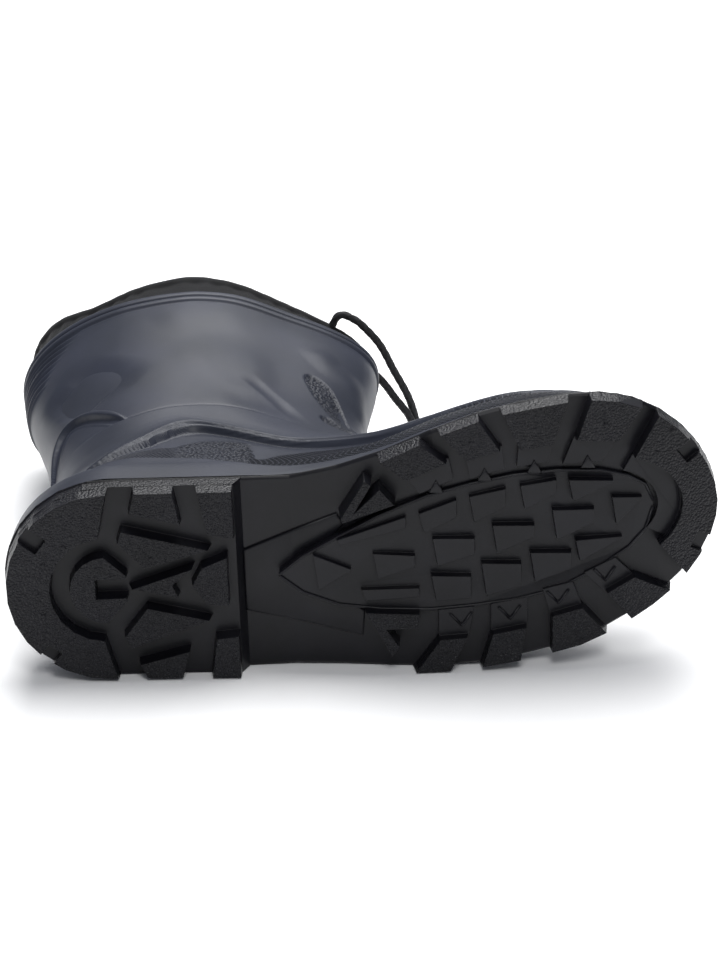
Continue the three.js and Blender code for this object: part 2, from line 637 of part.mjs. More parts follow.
// The section that lies so far above the sole's rim
function upOf(rise, turn) {
  const x = share(turn) * LENGTH;
  return (rimAt(x) + rise - seamAt(x)) / (SHELL_HEIGHT - seamAt(x));
}

function footbedRise(turn) {
  return mix(
    FOOTBED_HEEL,
    FOOTBED_FORE,
    THREE.MathUtils.smoothstep(share(turn), ...FOOTBED_STRETCH),
  );
}

// A point of the footbed's wall inside the shell, so far above the sole's rim
function footbedPoint(turn, rise) {
  return levelSkin(upOf(rise, turn), turn, WALL + CLEARANCE + FOOTBED_EDGE);
}

// The across place of the sole's edge
function edgeAcross(x, side) {
  const half =
    halfAt(x) *
    endRound(x, HEEL_ROUND * LENGTH, HEEL_POWER) *
    endRound(LENGTH - x, TOE_ROUND * LENGTH, TOE_POWER);
  return centreAt(x) + side * half;
}

// The turn at which the edge passes a place, on the medial or the lateral side
function turnAt(x, side) {
  const turn = Math.acos(1 - (2 * x) / LENGTH);
  return side > 0 ? turn : 2 * Math.PI - turn;
}

// Points along the sole's edge between two turns
function edgeRun(from, to, inset) {
  const steps = Math.max(Math.ceil(Math.abs(to - from) / EDGE_STEP), 1);
  return Array.from({ length: steps + 1 }, (_, i) => edge(mix(from, to, i / steps), inset));
}

// Points on an arc of an oval, between two angles in degrees
function arc(centre, radiusX, radiusY, from, to, steps) {
  return Array.from({ length: steps + 1 }, (_, i) => {
    const a = THREE.MathUtils.degToRad(mix(from, to, i / steps));
    return new THREE.Vector2(centre.x + radiusX * Math.cos(a), centre.y + radiusY * Math.sin(a));
  });
}

// A plan outline with each side moved inwards, corners mitred
function insetOutline(outline, inset) {
  const sign = THREE.ShapeUtils.area(outline) > 0 ? 1 : -1;
  const count = outline.length;
  return outline.map((p, i) => {
    const before = p.clone().sub(outline[(i + count - 1) % count]).normalize();
    const after = outline[(i + 1) % count].clone().sub(p).normalize();
    const normal = new THREE.Vector2(-before.y - after.y, before.x + after.x).normalize();
    const facing = Math.max(normal.dot(new THREE.Vector2(-before.y, before.x)), MITRE);
    return p.clone().addScaledVector(normal, (sign * inset) / facing);
  });
}

// A block between two heights worked out at each corner; the lower face may be drawn in
function block(outline, low, high, draft = 0) {
  const lower = draft ? insetOutline(outline, draft) : outline;
  const count = outline.length;
  const points = [
    ...lower.map((p) => new THREE.Vector3(p.x, p.y, low(p.x))),
    ...outline.map((p) => new THREE.Vector3(p.x, p.y, high(p.x))),
  ];
  const cap = THREE.ShapeUtils.triangulateShape(outline, []);
  const anticlockwise = THREE.ShapeUtils.area(outline) > 0;
  const faces = anticlockwise
    ? bandFaces(0, count, count)
    : bandFaces(0, count, count).map(([a, b, c]) => [a, c, b]);
  cap.forEach(([a, b, c]) => {
    const side = outline[b].clone().sub(outline[a]);
    const up = side.cross(outline[c].clone().sub(outline[a])) > 0;
    const [p, q, r] = up ? [a, b, c] : [a, c, b];
    faces.push([count + p, count + q, count + r], [p, r, q]);
  });
  return bodyOf(points, faces);
}

// A tread block at a level above the ground, seated in the sole's floor
function lug(outline, level, draft = LUG_DRAFT) {
  return block(outline, (x) => springAt(x) + level, (x) => floorAt(x) + SEAT, draft);
}

function heelLug(outline, draft = LUG_DRAFT) {
  return block(outline, () => 0, () => LUG_DEPTH + SEAT, draft);
}

const atPlan = (along, across, length, width) => new THREE.Vector2(along * length, across * width);

function edgeLugs() {
  return EDGE_LUGS.flatMap((row) => {
    const inside = (along, deep) => {
      const x = along * LENGTH;
      return new THREE.Vector2(x, edgeAcross(x, row.side) - row.side * deep * BALL_WIDTH);
    };
    const outerEnds = [turnAt(row.rear * LENGTH, row.side), turnAt(row.front * LENGTH, row.side)];
    const high = [
      ...edgeRun(...outerEnds, LUG_INSET),
      inside(row.frontIn, row.deep),
      inside(row.rearIn, row.deep),
    ];
    const low = [
      inside(row.rearIn, row.deep - LOW_OVERLAP),
      inside(row.frontIn, row.deep - LOW_OVERLAP),
      inside(row.frontLow, row.deepLow),
      inside(row.rearLow, row.deepLow),
    ];
    return [lug(high, 0), lug(low, LOW_LEVEL, 0)];
  });
}

function toeRim() {
  const centre = atPlan(TOE_RIM.along, TOE_RIM.across, LENGTH, BALL_WIDTH);
  const radii = [TOE_RIM.radiusAlong * LENGTH, TOE_RIM.radiusAcross * BALL_WIDTH];
  const oval = (grow, from, to) => arc(centre, radii[0] * grow, radii[1] * grow, from, to, ARC_STEPS);
  const outer = edgeRun(turnAt(TOE_RIM.front * LENGTH, 1), turnAt(TOE_RIM.rear * LENGTH, -1), LUG_INSET);
  const rim = [...outer, ...oval(1, TOE_RIM_FROM, TOE_RIM_TO)];
  const plateau = [
    ...oval(PLATEAU_OVERLAP, TOE_RIM_FROM, TOE_RIM_TO - PLATEAU_SHORTER),
    ...oval(TOE_PLATEAU, TOE_RIM_TO - PLATEAU_SHORTER, TOE_RIM_FROM),
  ];
  return [lug(rim, 0), lug(plateau, LOW_LEVEL, 0)];
}

function field() {
  const edgeOf = (column) => (row) => atPlan(row.along, row[column], LENGTH, BALL_WIDTH);
  const outline = [...FIELD.map(edgeOf("lateral")), ...FIELD.map(edgeOf("medial")).reverse()];
  const blocks = FIELD_BLOCKS.map((row) => {
    const rear = row.rear * LENGTH;
    const run = row.run * LENGTH;
    const medial = row.edge * BALL_WIDTH;
    const front = medial + row.slope * run;
    const corners = [
      new THREE.Vector2(rear, medial),
      new THREE.Vector2(rear + run, front),
      new THREE.Vector2(rear + run, front + row.wideFront * BALL_WIDTH),
      new THREE.Vector2(rear + BLOCK_LEAN, medial + row.wideRear * BALL_WIDTH),
    ];
    return lug(corners, BLOCK_LEVEL, BLOCK_DRAFT);
  });
  return [lug(outline, FIELD_LEVEL, 0), ...blocks];
}

function waistLugs() {
  return WAIST_LUGS.map(({ corners }) =>
    lug(corners.map(([along, across]) => atPlan(along, across, LENGTH, BALL_WIDTH)), 0),
  );
}

function heelSlab() {
  const ends = [turnAt(HEEL_LENGTH, -1) - 2 * Math.PI, turnAt(HEEL_LENGTH, 1)];
  const outline = edgeRun(...ends, LUG_INSET);
  const slab = block(outline, () => LUG_DEPTH, () => ARCH_HEIGHT + SEAT);
  const breast = [outline[0], outline.at(-1), ...[outline.at(-1), outline[0]].map((p) => p.clone())];
  breast[2].x += BREAST_SLOPE;
  breast[3].x += BREAST_SLOPE;
  breast[0] = breast[0].clone().setX(HEEL_LENGTH - BREAST_SLOPE);
  breast[1] = breast[1].clone().setX(HEEL_LENGTH - BREAST_SLOPE);
  const slope = bodyOf(
    [
      ...breast.map((p) => new THREE.Vector3(Math.min(p.x, HEEL_LENGTH), p.y, LUG_DEPTH)),
      ...breast.map((p) => new THREE.Vector3(p.x, p.y, ARCH_HEIGHT + SEAT)),
    ],
    [...bandFaces(0, 4, 4), [0, 2, 1], [0, 3, 2], [4, 5, 6], [4, 6, 7]],
  );
  return [slab, slope];
}

function heelLugs() {
  const edges = HEEL_EDGE_LUGS.map((row) => {
    const inside = (along, deep) => {
      const x = along * HEEL_LENGTH;
      return new THREE.Vector2(x, edgeAcross(x, row.side) - row.side * deep * HEEL_WIDTH);
    };
    const ends = [turnAt(row.rear * HEEL_LENGTH, row.side), turnAt(row.front * HEEL_LENGTH, row.side)];
    return heelLug([
      ...edgeRun(...ends, LUG_INSET),
      inside(row.frontIn, row.deepFront),
      inside(row.rearIn, row.deepRear),
    ]);
  });
  const inner = HEEL_INNER_LUGS.map(({ corners }) =>
    heelLug(corners.map(([along, across]) => atPlan(along, across, HEEL_LENGTH, HEEL_WIDTH))),
  );
  return [...edges, ...inner, ...heelDisc()];
}

// The disc with its slot, and the rim lug round the back of the heel
function heelDisc() {
  const centre = atPlan(DISC.along, DISC.across, HEEL_LENGTH, HEEL_WIDTH);
  const slotRear = DISC.slotRear * HEEL_LENGTH;
  const cut = DISC.cut * HEEL_LENGTH;
  const slot = (x, side) => new THREE.Vector2(x, centre.y - DISC_SLOT_SHIFT + side * DISC.slotHalf);
  const disc = [
    ...arc(centre, DISC.radius, DISC.radius, ...DISC_ARC, ARC_STEPS),
    new THREE.Vector2(cut, slot(cut, -1).y - DISC_LIP),
    slot(cut, -1),
    slot(slotRear, -1),
    slot(slotRear, 1),
    slot(cut, 1),
    new THREE.Vector2(cut, slot(cut, 1).y + DISC_LIP),
  ];
  const reach = DISC.radius + DISC.groove;
  const end = RIM_REAR_END * HEEL_LENGTH;
  const rim = [
    ...edgeRun(turnAt(end, -1) - 2 * Math.PI, turnAt(end, 1), LUG_INSET),
    ...arc(centre, reach, reach, ...HEEL_RIM_ARC, ARC_STEPS),
  ];
  return [heelLug(disc), heelLug(rim)];
}

function notches() {
  return NOTCHES.map((row) => {
    const turn = turnAt(row.along * LENGTH, row.side);
    const middle = edge(turn, 0);
    const inwards = edge(turn, 1).sub(middle);
    const along = new THREE.Vector2(-inwards.y, inwards.x);
    const corner = (across, into) =>
      middle.clone().addScaledVector(along, across * row.wide).addScaledVector(inwards, into);
    const outline = [
      corner(-0.5, -NOTCH_OUT),
      corner(0.5, -NOTCH_OUT),
      corner(0.5, row.deep),
      corner(-0.5, row.deep),
    ];
    return block(outline, () => -1, (x) => springAt(x) + NOTCH_DEPTH);
  });
}

function outsole() {
  const parts = [
    ...heelSlab(),
    ...heelLugs(),
    ...waistLugs(),
    ...edgeLugs(),
    ...toeRim(),
    ...field(),
  ];
  const whole = parts.reduce((sum, part) => sum.add(toSolid(part)), toSolid(soleBase()));
  return toGeometry(notches().reduce((rest, cut) => rest.subtract(toSolid(cut)), whole));
}

function insole() {
  const at = (turn, thickness) => {
    const low = footbedRise(turn);
    const inset = WALL + CLEARANCE + FOOTBED_EDGE + INSOLE_EDGE;
    const foot = skin(upOf(low + INSOLE_THICKNESS, turn), turn, inset);
    return foot.setZ(footbedPoint(turn, low).z + CLEARANCE + thickness);
  };
  return loft([ring((turn) => at(turn, 0)), ring((turn) => at(turn, INSOLE_THICKNESS))]);
}

function foxingAt(turn) {
  return FOXING_HEIGHT * follow(PROFILE, "along", "foxing", share(turn));
}

// The section that a wall level lies on at a turn, so that the waves run along their own levels
function upOfLevel(level, turn) {
  const rows = [
    { level: WAVES_FROM, up: upOf(FOXING_STEPS.at(-1).rise * foxingAt(turn), turn) },
    { level: LOWER_WAVE, up: follow(WAVES, "from", "lower", share(turn)) },
    { level: UPPER_WAVE, up: follow(WAVES, "from", "upper", share(turn)) },
    { level: WAVES_TO, up: WAVES_TO },
  ];
  const next = rows.findIndex((row) => row.level > level);
  if (next < 1) return level;
  const [a, b] = [rows[next - 1], rows[next]];
  return mix(a.up, b.up, (level - a.level) / (b.level - a.level));
}

// How far a wall level stands proud of the skin at a turn
function proudOf(row, turn) {
  const at = (column) => follow(WAVES, "from", column, share(turn));
  return row.crest * at("crest") * CREST + row.step * at("step") * WAVE_STEP;
}

// A ridge of triangular section along rows of turn, up, width and height
function ridge(rows) {
  const count = rows.length;
  const sections = rows.map((row, i) => {
    const at = (k) => skinPoint(rows[k].up, rows[k].turn);
    const along = at(Math.min(i + 1, count - 1)).sub(at(Math.max(i - 1, 0))).normalize();
    const seat = skin(row.up, row.turn, RELIEF_SEAT);
    const apex = skin(row.up, row.turn, -row.proud);
    const across = along.cross(apex.clone().sub(seat)).normalize().multiplyScalar(row.wide / 2);
    return [seat.clone().add(across), seat.clone().sub(across), apex];
  });
  const faces = [[0, 2, 1]];
  for (let k = 0; k + 1 < count; k += 1) faces.push(...bandFaces(k * 3, k * 3 + 3, 3));
  faces.push([count * 3 - 3, count * 3 - 2, count * 3 - 1]);
  return bodyOf(sections.flat(), faces);
}

function fins() {
  return [1, -1].map((side) => ridge(FIN.map((row) => ({ ...row, turn: side * row.turn }))));
}

function ribs() {
  return Array.from({ length: RIBS.count }, (_, k) => {
    const reach = RIBS.reach - k * RIBS.shorter;
    const rows = Array.from({ length: RIBS.steps + 1 }, (_, i) => {
      const t = (2 * i) / RIBS.steps - 1;
      const fade = 1 - t ** 4;
      return {
        turn: t * reach,
        up: RIBS.top - k * RIBS.pitch,
        wide: RIBS.wide,
        proud: RIBS.proud * fade,
      };
    });
    return ridge(rows);
  });
}

function shell() {
  const foot = (turn) => upOf(SEAT_GAP, turn);
  const foxing = FOXING_STEPS.map(({ rise, proud }) =>
    ring((turn) => skin(upOf(rise * foxingAt(turn), turn), turn, -proud * FOXING)),
  );
  const outer = [
    ring((turn) => levelSkin(foot(turn), turn, -FOXING)),
    ...foxing,
    ...OUTER_LEVELS.map((row) =>
      ring((turn) => skin(upOfLevel(row.level, turn), turn, -proudOf(row, turn))),
    ),
    ...BEAD_STEPS.map(({ up, proud }) => ring((turn) => skin(up, turn, -proud * BEAD))),
  ];
  const inner = INNER_LEVELS.map((up) => ring((turn) => skin(up, turn, WALL)));
  inner.push(ring((turn) => skin(mix(foot(turn), INNER_LEVELS.at(-1), INNER_FOOT), turn, WALL)));
  const wall = toSolid(wallOf([...outer, ...inner, ring((turn) => levelSkin(foot(turn), turn, WALL))]));
  return toGeometry([...fins(), ...ribs()].reduce((sum, part) => sum.add(toSolid(part)), wall));
}

function collar() {
  const tuckUp = 1 - COLLAR_TUCK / SHELL_HEIGHT;
  const at = (turn, row, thickness) => {
    const along = skinPoint(1, turn).x / LENGTH;
    const lean = row.lean * COLLAR_LEAN * follow(COLLAR_TOP, "along", "lean", along);
    const height = COLLAR_RISE * follow(COLLAR_TOP, "along", "height", along);
    const base = skin(1, turn, WALL + CLEARANCE + lean - (row.hem * HEM) / 2 + thickness);
    return base.setZ(base.z + row.rise * height);
  };
  const outer = COLLAR_STEPS.map((row) => ring((turn) => at(turn, row, 0)));
  const inner = COLLAR_STEPS.map((row) => ring((turn) => at(turn, row, CLOTH + row.hem * HEM)));
  const tuckOuter = ring((turn) => skin(tuckUp, turn, WALL + CLEARANCE));
  const tuckInner = ring((turn) => skin(tuckUp, turn, WALL + CLEARANCE + CLOTH));
  return wallOf([tuckOuter, ...outer, ...inner.reverse(), tuckInner]);
}

const RUBBER = new THREE.MeshStandardMaterial({ color: "#3c3f47", roughness: 0.5, metalness: 0 });
const SOLE_RUBBER = new THREE.MeshStandardMaterial({ color: "#25262b", roughness: 0.7, metalness: 0 });
const NYLON = new THREE.MeshStandardMaterial({ color: "#17181b", roughness: 0.9, metalness: 0 });
const BRAID = new THREE.MeshStandardMaterial({ color: "#1a1b1e", roughness: 0.85, metalness: 0 });
const FELT = new THREE.MeshStandardMaterial({ color: "#4a4c50", roughness: 0.95, metalness: 0 });

function piece(name, geometry, material) {
  const mesh = new THREE.Mesh(geometry, material);
  mesh.name = name;
  return mesh;
}

const boot = new THREE.Group();
boot.add(
  piece("outsole", outsole(), SOLE_RUBBER),
  piece("upper", shell(), RUBBER),
  piece("collar", collar(), NYLON),
  piece("insole", insole(), FELT),
);

// Density of each piece in g/cm3, for the boot's centre of mass
const DENSITIES = { outsole: 1.0, upper: 1.0, collar: 0.3, insole: 0.2 };

function cornersOf(geometry) {
  const position = geometry.getAttribute("position");
  const corner = (_, i) => new THREE.Vector3().fromBufferAttribute(position, i);
  return Array.from({ length: position.count }, corner);
}

function centreOfMass(meshes) {
  const sum = new THREE.Vector3();
  let mass = 0;
  meshes.forEach((mesh) => {
    const corners = cornersOf(mesh.geometry);
    const index = mesh.geometry.getIndex().array;
    for (let i = 0; i < index.length; i += 3) {
      const [a, b, c] = [corners[index[i]], corners[index[i + 1]], corners[index[i + 2]]];
      const share = (DENSITIES[mesh.name] * a.dot(new THREE.Vector3().crossVectors(b, c))) / 6;
      sum.addScaledVector(a.clone().add(b).add(c), share / 4);
      mass += share;
    }
  });
  return sum.divideScalar(mass);
}

// The boot on its lateral side, then rolled about its length and pitched across it
function lying(roll, pitch) {
  return new THREE.Matrix4()
    .makeRotationY(pitch)
    .multiply(new THREE.Matrix4().makeRotationX(roll - Math.PI / 2));
}

// The roll and pitch at which the boot comes to rest on a flat floor: its centre of mass is as
// low as it goes near the lateral side
function settle(meshes) {
  const corners = meshes.flatMap((mesh) => cornersOf(mesh.geometry));
  const mass = centreOfMass(meshes);
  const height = ([roll, pitch]) => {
    const turned = lying(roll, pitch);
    const [a, b, c] = [turned.elements[2], turned.elements[6], turned.elements[10]];
    const lowest = corners.reduce((low, p) => Math.min(low, a * p.x + b * p.y + c * p.z), Infinity);
    return mass.clone().applyMatrix4(turned).z - lowest;
  };
  let best = [0, 0];
  let low = height(best);
  for (let step = FIRST_TURN; step > LAST_TURN; ) {
    const near = SEARCH.map(([a, b]) => [best[0] + a * step, best[1] + b * step]);
    const heights = near.map(height);
    const least = Math.min(...heights);
    if (least < low) {
      best = near[heights.indexOf(least)];
      low = least;
    } else {
      step /= 2;
    }
  }
  return lying(...best);
}

const resting = settle(boot.children);
const bounds = new THREE.Box3().setFromPoints(
  boot.children.flatMap((mesh) => cornersOf(mesh.geometry).map((p) => p.applyMatrix4(resting))),
);
boot.setRotationFromMatrix(resting);
boot.position.set(
  -(bounds.min.x + bounds.max.x) / 2,
  -(bounds.min.y + bounds.max.y) / 2,
  -bounds.min.z,
);

// A round cord through its points
function cord(points) {
  const path = new THREE.CatmullRomCurve3(points.map((p) => new THREE.Vector3(...p)));
  const section = new THREE.Shape().setFromPoints(
    Array.from({ length: CORD_SIDES }, (_, i) => {
      const a = (2 * Math.PI * i) / CORD_SIDES;
      return new THREE.Vector2(Math.cos(a), Math.sin(a)).multiplyScalar(CORD_DIAMETER / 2);
    }),
  );
  const steps = Math.ceil(path.getLength() / CORD_STEP);
  const tube = new THREE.ExtrudeGeometry(section, { steps, extrudePath: path, bevelEnabled: false });
  tube.deleteAttribute("normal");
  tube.deleteAttribute("uv");
  return mergeVertices(tube);
}

function knot() {
  const ball = new THREE.SphereGeometry(0.5, KNOT_SIDES, KNOT_SIDES / 2);
  ball.deleteAttribute("normal");
  ball.deleteAttribute("uv");
  ball.scale(...KNOT.size).translate(...KNOT.at);
  const tails = KNOT_TAILS.map(cord);
  return toGeometry(tails.reduce((sum, tail) => sum.add(toSolid(tail)), toSolid(mergeVertices(ball))));
}

const part = new THREE.Group();
part.add(
  boot,
  piece("drawcord_medial", cord(MEDIAL_STRAND), BRAID),
  piece("drawcord_lateral", cord(LATERAL_STRAND), BRAID),
  piece("drawcord_knot", knot(), BRAID),
);
export default part;
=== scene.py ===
import json
import math

import bpy
import numpy as np
from mathutils import Matrix, Vector


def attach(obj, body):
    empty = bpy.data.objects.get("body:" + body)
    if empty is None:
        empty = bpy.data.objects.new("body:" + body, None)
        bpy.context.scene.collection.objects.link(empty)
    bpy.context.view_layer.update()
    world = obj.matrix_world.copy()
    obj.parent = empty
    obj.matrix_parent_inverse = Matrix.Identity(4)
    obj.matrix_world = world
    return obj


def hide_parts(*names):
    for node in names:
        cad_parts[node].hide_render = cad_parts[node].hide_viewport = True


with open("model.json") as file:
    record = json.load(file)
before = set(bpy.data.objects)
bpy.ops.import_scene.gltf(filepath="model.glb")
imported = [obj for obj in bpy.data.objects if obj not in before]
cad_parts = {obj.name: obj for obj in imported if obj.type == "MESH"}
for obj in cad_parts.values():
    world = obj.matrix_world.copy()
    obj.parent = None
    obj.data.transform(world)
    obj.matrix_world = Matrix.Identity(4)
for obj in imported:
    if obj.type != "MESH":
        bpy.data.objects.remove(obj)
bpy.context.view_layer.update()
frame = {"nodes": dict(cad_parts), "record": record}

bl_info = {
    "name": "Snow boot",
    "version": (1, 0, 0),
    "blender": (4, 5, 0),
    "location": "View3D > Sidebar > Snow boot",
    "description": "Dresses the packed snow boot with its shell, collar, drawcord and sole",
    "category": "Add Mesh",
}

MM = 0.001


# Tables and smooth curves


def table(columns, *rows):
    """Rows of values as one array for each named column."""
    return dict(zip(columns.split(), np.array(rows, float).T))


def follow(rows, by, column, at):
    """Smooth value of a column at a place, level beyond the first and last row."""
    x = rows[by]
    y = rows[column]
    at = np.clip(at, x[0], x[-1])
    i = np.clip(np.searchsorted(x, at) - 1, 0, len(x) - 2)
    beside_x = np.concatenate([x[:1], x, x[-1:]])
    beside_y = np.concatenate([y[:1], y, y[-1:]])
    slope = (beside_y[2:] - beside_y[:-2]) / (beside_x[2:] - beside_x[:-2])
    span = x[i + 1] - x[i]
    t = (at - x[i]) / span
    rise = y[i + 1] - y[i]
    start = slope[i] * span
    end = slope[i + 1] * span
    return y[i] + t * (start + t * (3 * rise - 2 * start - end + t * (start + end - 2 * rise)))


def ease(value, low, high):
    """0 at low, 1 at high and smooth between."""
    t = np.clip((value - low) / (high - low), 0, 1)
    return t * t * (3 - 2 * t)


def bump(distance, half):
    """A round hump, 1 at distance 0 and 0 from half outwards."""
    return np.clip(1 - (distance / half) ** 2, 0, 1) ** 2


# Last, sole and shell, with the sizes that the solids have

LENGTH = 314
BALL_WIDTH = 122
WAIST_WIDTH = 91
HEEL_WIDTH = 92
TOE_SWING = 24
TOE_SPRING = 13
EDGE_HEIGHT = 15
SHELL_HEIGHT = 229
FRONT_DIP = 6
WALL = 2.4
FOXING = 1.6
FOXING_HEIGHT = 31
FOXING_EDGE = (0.93, 1.05)
SEAT_GAP = 0.4
CLEARANCE = 0.3
RELIEF_SEAT = 1.2
COLLAR_RISE = 40
COLLAR_TUCK = 16
COLLAR_LEAN = 2.5
CLOTH = 1.8
HEM = 2.2
CORD_DIAMETER = 4

# Plan of the sole's edge: half width in mm and the centre line's swing as a share of TOE_SWING
PLAN = table(
    "along half swing",
    (0.148, 1.0 * HEEL_WIDTH / 2, 0),
    (0.247, 1.0 * HEEL_WIDTH / 2, -0.03),
    (0.326, 1.01 * HEEL_WIDTH / 2, -0.07),
    (0.415, 1.02 * WAIST_WIDTH / 2, -0.055),
    (0.513, 1.13 * WAIST_WIDTH / 2, 0.085),
    (0.612, 0.955 * BALL_WIDTH / 2, 0.36),
    (0.691, 1.0 * BALL_WIDTH / 2, 0.57),
    (0.78, 0.99 * BALL_WIDTH / 2, 0.77),
    (0.879, 0.99 * BALL_WIDTH / 2, 0.95),
    (1.0, 1.02 * BALL_WIDTH / 2, 0.92),
)

# How full the heel's and the toe's ends are: 2 is an ellipse
HEEL_POWER = 2
TOE_POWER = 1.8

# Heights along the sole: rim and seam, where the shell's sections begin, as shares of EDGE_HEIGHT,
# spring of TOE_SPRING, foxing of FOXING_HEIGHT
PROFILE = table(
    "along rim seam spring foxing",
    (0.0, 1.0, 1.0, 0, 1.0),
    (0.1, 1.0, 1.0, 0, 1.05),
    (0.16, 1.0, 1.0, 0, 1.0),
    (0.26, 1.0, 1.02, 0, 0.87),
    (0.31, 1.0, 1.04, 0, 0.7),
    (0.36, 1.0, 1.1, 0, 0.48),
    (0.42, 1.0, 1.18, 0, 0.34),
    (0.5, 0.9, 1.26, 0, 0.18),
    (0.6, 0.72, 1.29, 0, 0.12),
    (0.73, 0.68, 1.27, 0, 0.1),
    (0.82, 0.7, 1.23, 0.12, 0.1),
    (0.91, 0.76, 1.18, 0.46, 0.1),
    (1.0, 0.8, 1.15, 1, 0.1),
)

# Sections of the shell from the sole's rim, up 0, to its own rim, up 1
SECTIONS = table(
    "up back front heel_round toe_round heel ball",
    (0.0, 0.006, 0.988, 0.15, 0.24, 0.95, 0.925),
    (0.05, 0.009, 0.977, 0.15, 0.242, 0.94, 0.895),
    (0.075, 0.012, 0.968, 0.152, 0.245, 0.93, 0.875),
    (0.098, 0.03, 0.955, 0.154, 0.248, 0.91, 0.84),
    (0.135, 0.045, 0.935, 0.158, 0.24, 0.89, 0.78),
    (0.174, 0.053, 0.907, 0.16, 0.26, 0.88, 0.73),
    (0.22, 0.058, 0.847, 0.162, 0.275, 0.87, 0.68),
    (0.26, 0.056, 0.768, 0.168, 0.285, 0.865, 0.61),
    (0.308, 0.055, 0.686, 0.175, 0.29, 0.86, 0.53),
    (0.38, 0.052, 0.606, 0.185, 0.285, 0.86, 0.46),
    (0.47, 0.044, 0.549, 0.2, 0.27, 0.87, 0.46),
    (0.575, 0.034, 0.52, 0.22, 0.27, 0.9, 0.56),
    (0.69, 0.017, 0.523, 0.25, 0.28, 0.95, 0.7),
    (0.8, 0.0, 0.533, 0.27, 0.29, 1.0, 0.76),
    (0.9, -0.009, 0.543, 0.29, 0.3, 1.06, 0.77),
    (1.0, -0.016, 0.545, 0.3, 0.3, 1.11, 0.74),
)

# The two waves moulded round the shell, at shares of a section from back to front
WAVES = table(
    "from lower upper crest step",
    (0.0, 0.15, 0.36, 0, 0),
    (0.05, 0.17, 0.38, 0.2, 0),
    (0.12, 0.215, 0.395, 0.7, 0.3),
    (0.19, 0.25, 0.403, 1, 1),
    (0.25, 0.292, 0.413, 1, 1),
    (0.3, 0.322, 0.424, 1, 1),
    (0.345, 0.336, 0.432, 1, 1),
    (0.385, 0.324, 0.438, 1, 1),
    (0.43, 0.28, 0.443, 1, 1),
    (0.48, 0.234, 0.443, 1, 1),
    (0.54, 0.188, 0.436, 1, 0.8),
    (0.6, 0.145, 0.43, 0.8, 0.5),
    (0.7, 0.108, 0.413, 0.6, 0.2),
    (0.8, 0.095, 0.4, 0.5, 0),
    (1.0, 0.095, 0.4, 0.5, 0),
)
WAVES_FROM = 0.075
LOWER_LEVEL = 0.235
UPPER_LEVEL = 0.424
WAVES_TO = 0.75

# The fin behind the ankle: turn in radians from the heel's back, up, width and height in mm
FIN = table(
    "turn up wide proud",
    (0.12, 0.176, 2.4, 0.6),
    (0.13, 0.24, 2.6, 1.4),
    (0.15, 0.31, 2.8, 1.8),
    (0.22, 0.39, 3, 2),
    (0.33, 0.46, 3.2, 2.2),
    (0.48, 0.508, 3.6, 2.4),
    (0.64, 0.517, 4.6, 2.6),
    (0.78, 0.497, 6.4, 2.8),
    (0.88, 0.464, 7.4, 2.8),
    (0.95, 0.428, 6, 2.2),
    (0.985, 0.405, 2, 0.6),
)
# Beside the fin: its trough with the second line over it, their places and sizes in mm
TROUGH_DEEP = 1.1
TROUGH_WIDE = 7
LINE_TALL = 0.8
LINE_OFF = 4.6
LINE_HALF = 1.3

# Ribs round the back of the shaft: up and turn of the first, steps to the next, sizes in mm
RIB_COUNT = 7
RIB_TOP = 0.934
RIB_PITCH = 0.0225
RIB_REACH = 0.86
RIB_SHORTER = 0.062
RIB_WIDE = 1.5
RIB_GROOVE = 1.6
GROOVE_WIDE = 1.7

# Collar: its steps from the tuck inside the shell to the hem, and its height and lean along the
# boot as shares of COLLAR_RISE and COLLAR_LEAN
COLLAR_STEPS = table(
    "rise lean hem",
    (0.0, 0, 0),
    (0.25, 0.15, 0),
    (0.52, 0.55, 0),
    (0.76, 0.95, 0),
    (0.82, 0.95, 1),
    (0.95, 1.0, 1),
    (1.0, 1.1, 0.3),
)
COLLAR_TOP = table(
    "along height lean",
    (-0.02, 0.92, 0),
    (0.03, 0.84, 0.2),
    (0.09, 0.75, 1.6),
    (0.17, 0.78, 1.0),
    (0.25, 0.82, 0.6),
    (0.32, 0.79, 1.0),
    (0.4, 0.72, 1.2),
    (0.48, 0.58, 1.2),
    (0.56, 0.5, 1.0),
)

# Drawcord, in the row's frame: its two strands from the collar's hem to the knot on the floor
MEDIAL_STRAND = [
    (-3.5, 111.3, 78.5), (-1, 111.4, 82.8), (2.4, 111.5, 83.6), (6.6, 111.7, 81.5),
    (10.6, 111.8, 78.6), (18.5, 112.2, 69.6), (22.9, 112.5, 62.2), (26.8, 112.8, 53.7),
    (30.4, 113, 46.8), (33.9, 113.3, 39.7), (36.6, 113.6, 32.3), (38.4, 113.8, 25.4),
    (40.4, 114, 17.6), (43.4, 114.2, 9.4), (48, 114.2, 4.5),
]
LATERAL_STRAND = [
    (13.6, 111.3, 51.2), (15.2, 111.2, 51.8), (17, 111.1, 51.7), (19.8, 110.9, 49.4),
    (23.7, 110.6, 44.6), (28, 110.3, 38.2), (30.1, 110.1, 35.6), (32, 110, 33),
    (33.6, 109.9, 30.9), (35, 109.8, 28.4), (37.4, 109.7, 22.6), (38.7, 109.6, 19),
    (40, 109.6, 15.4), (41.5, 109.6, 11.8), (43.4, 109.6, 8.6), (48.2, 109.8, 4.4),
]
KNOT_AT = (54.4, 112, 4.7)
KNOT_SIZE = (11, 10.4, 9)
KNOT_TAILS = [
    [(55.4, 112.6, 3.2), (62.4, 114.6, 2.3), (70.4, 116.8, 2.2), (79.4, 117.6, 2.2)],
    [(55.4, 111.4, 3.2), (62.4, 109.2, 2.3), (69.4, 106.6, 2.2), (77.4, 105.4, 2.2)],
]
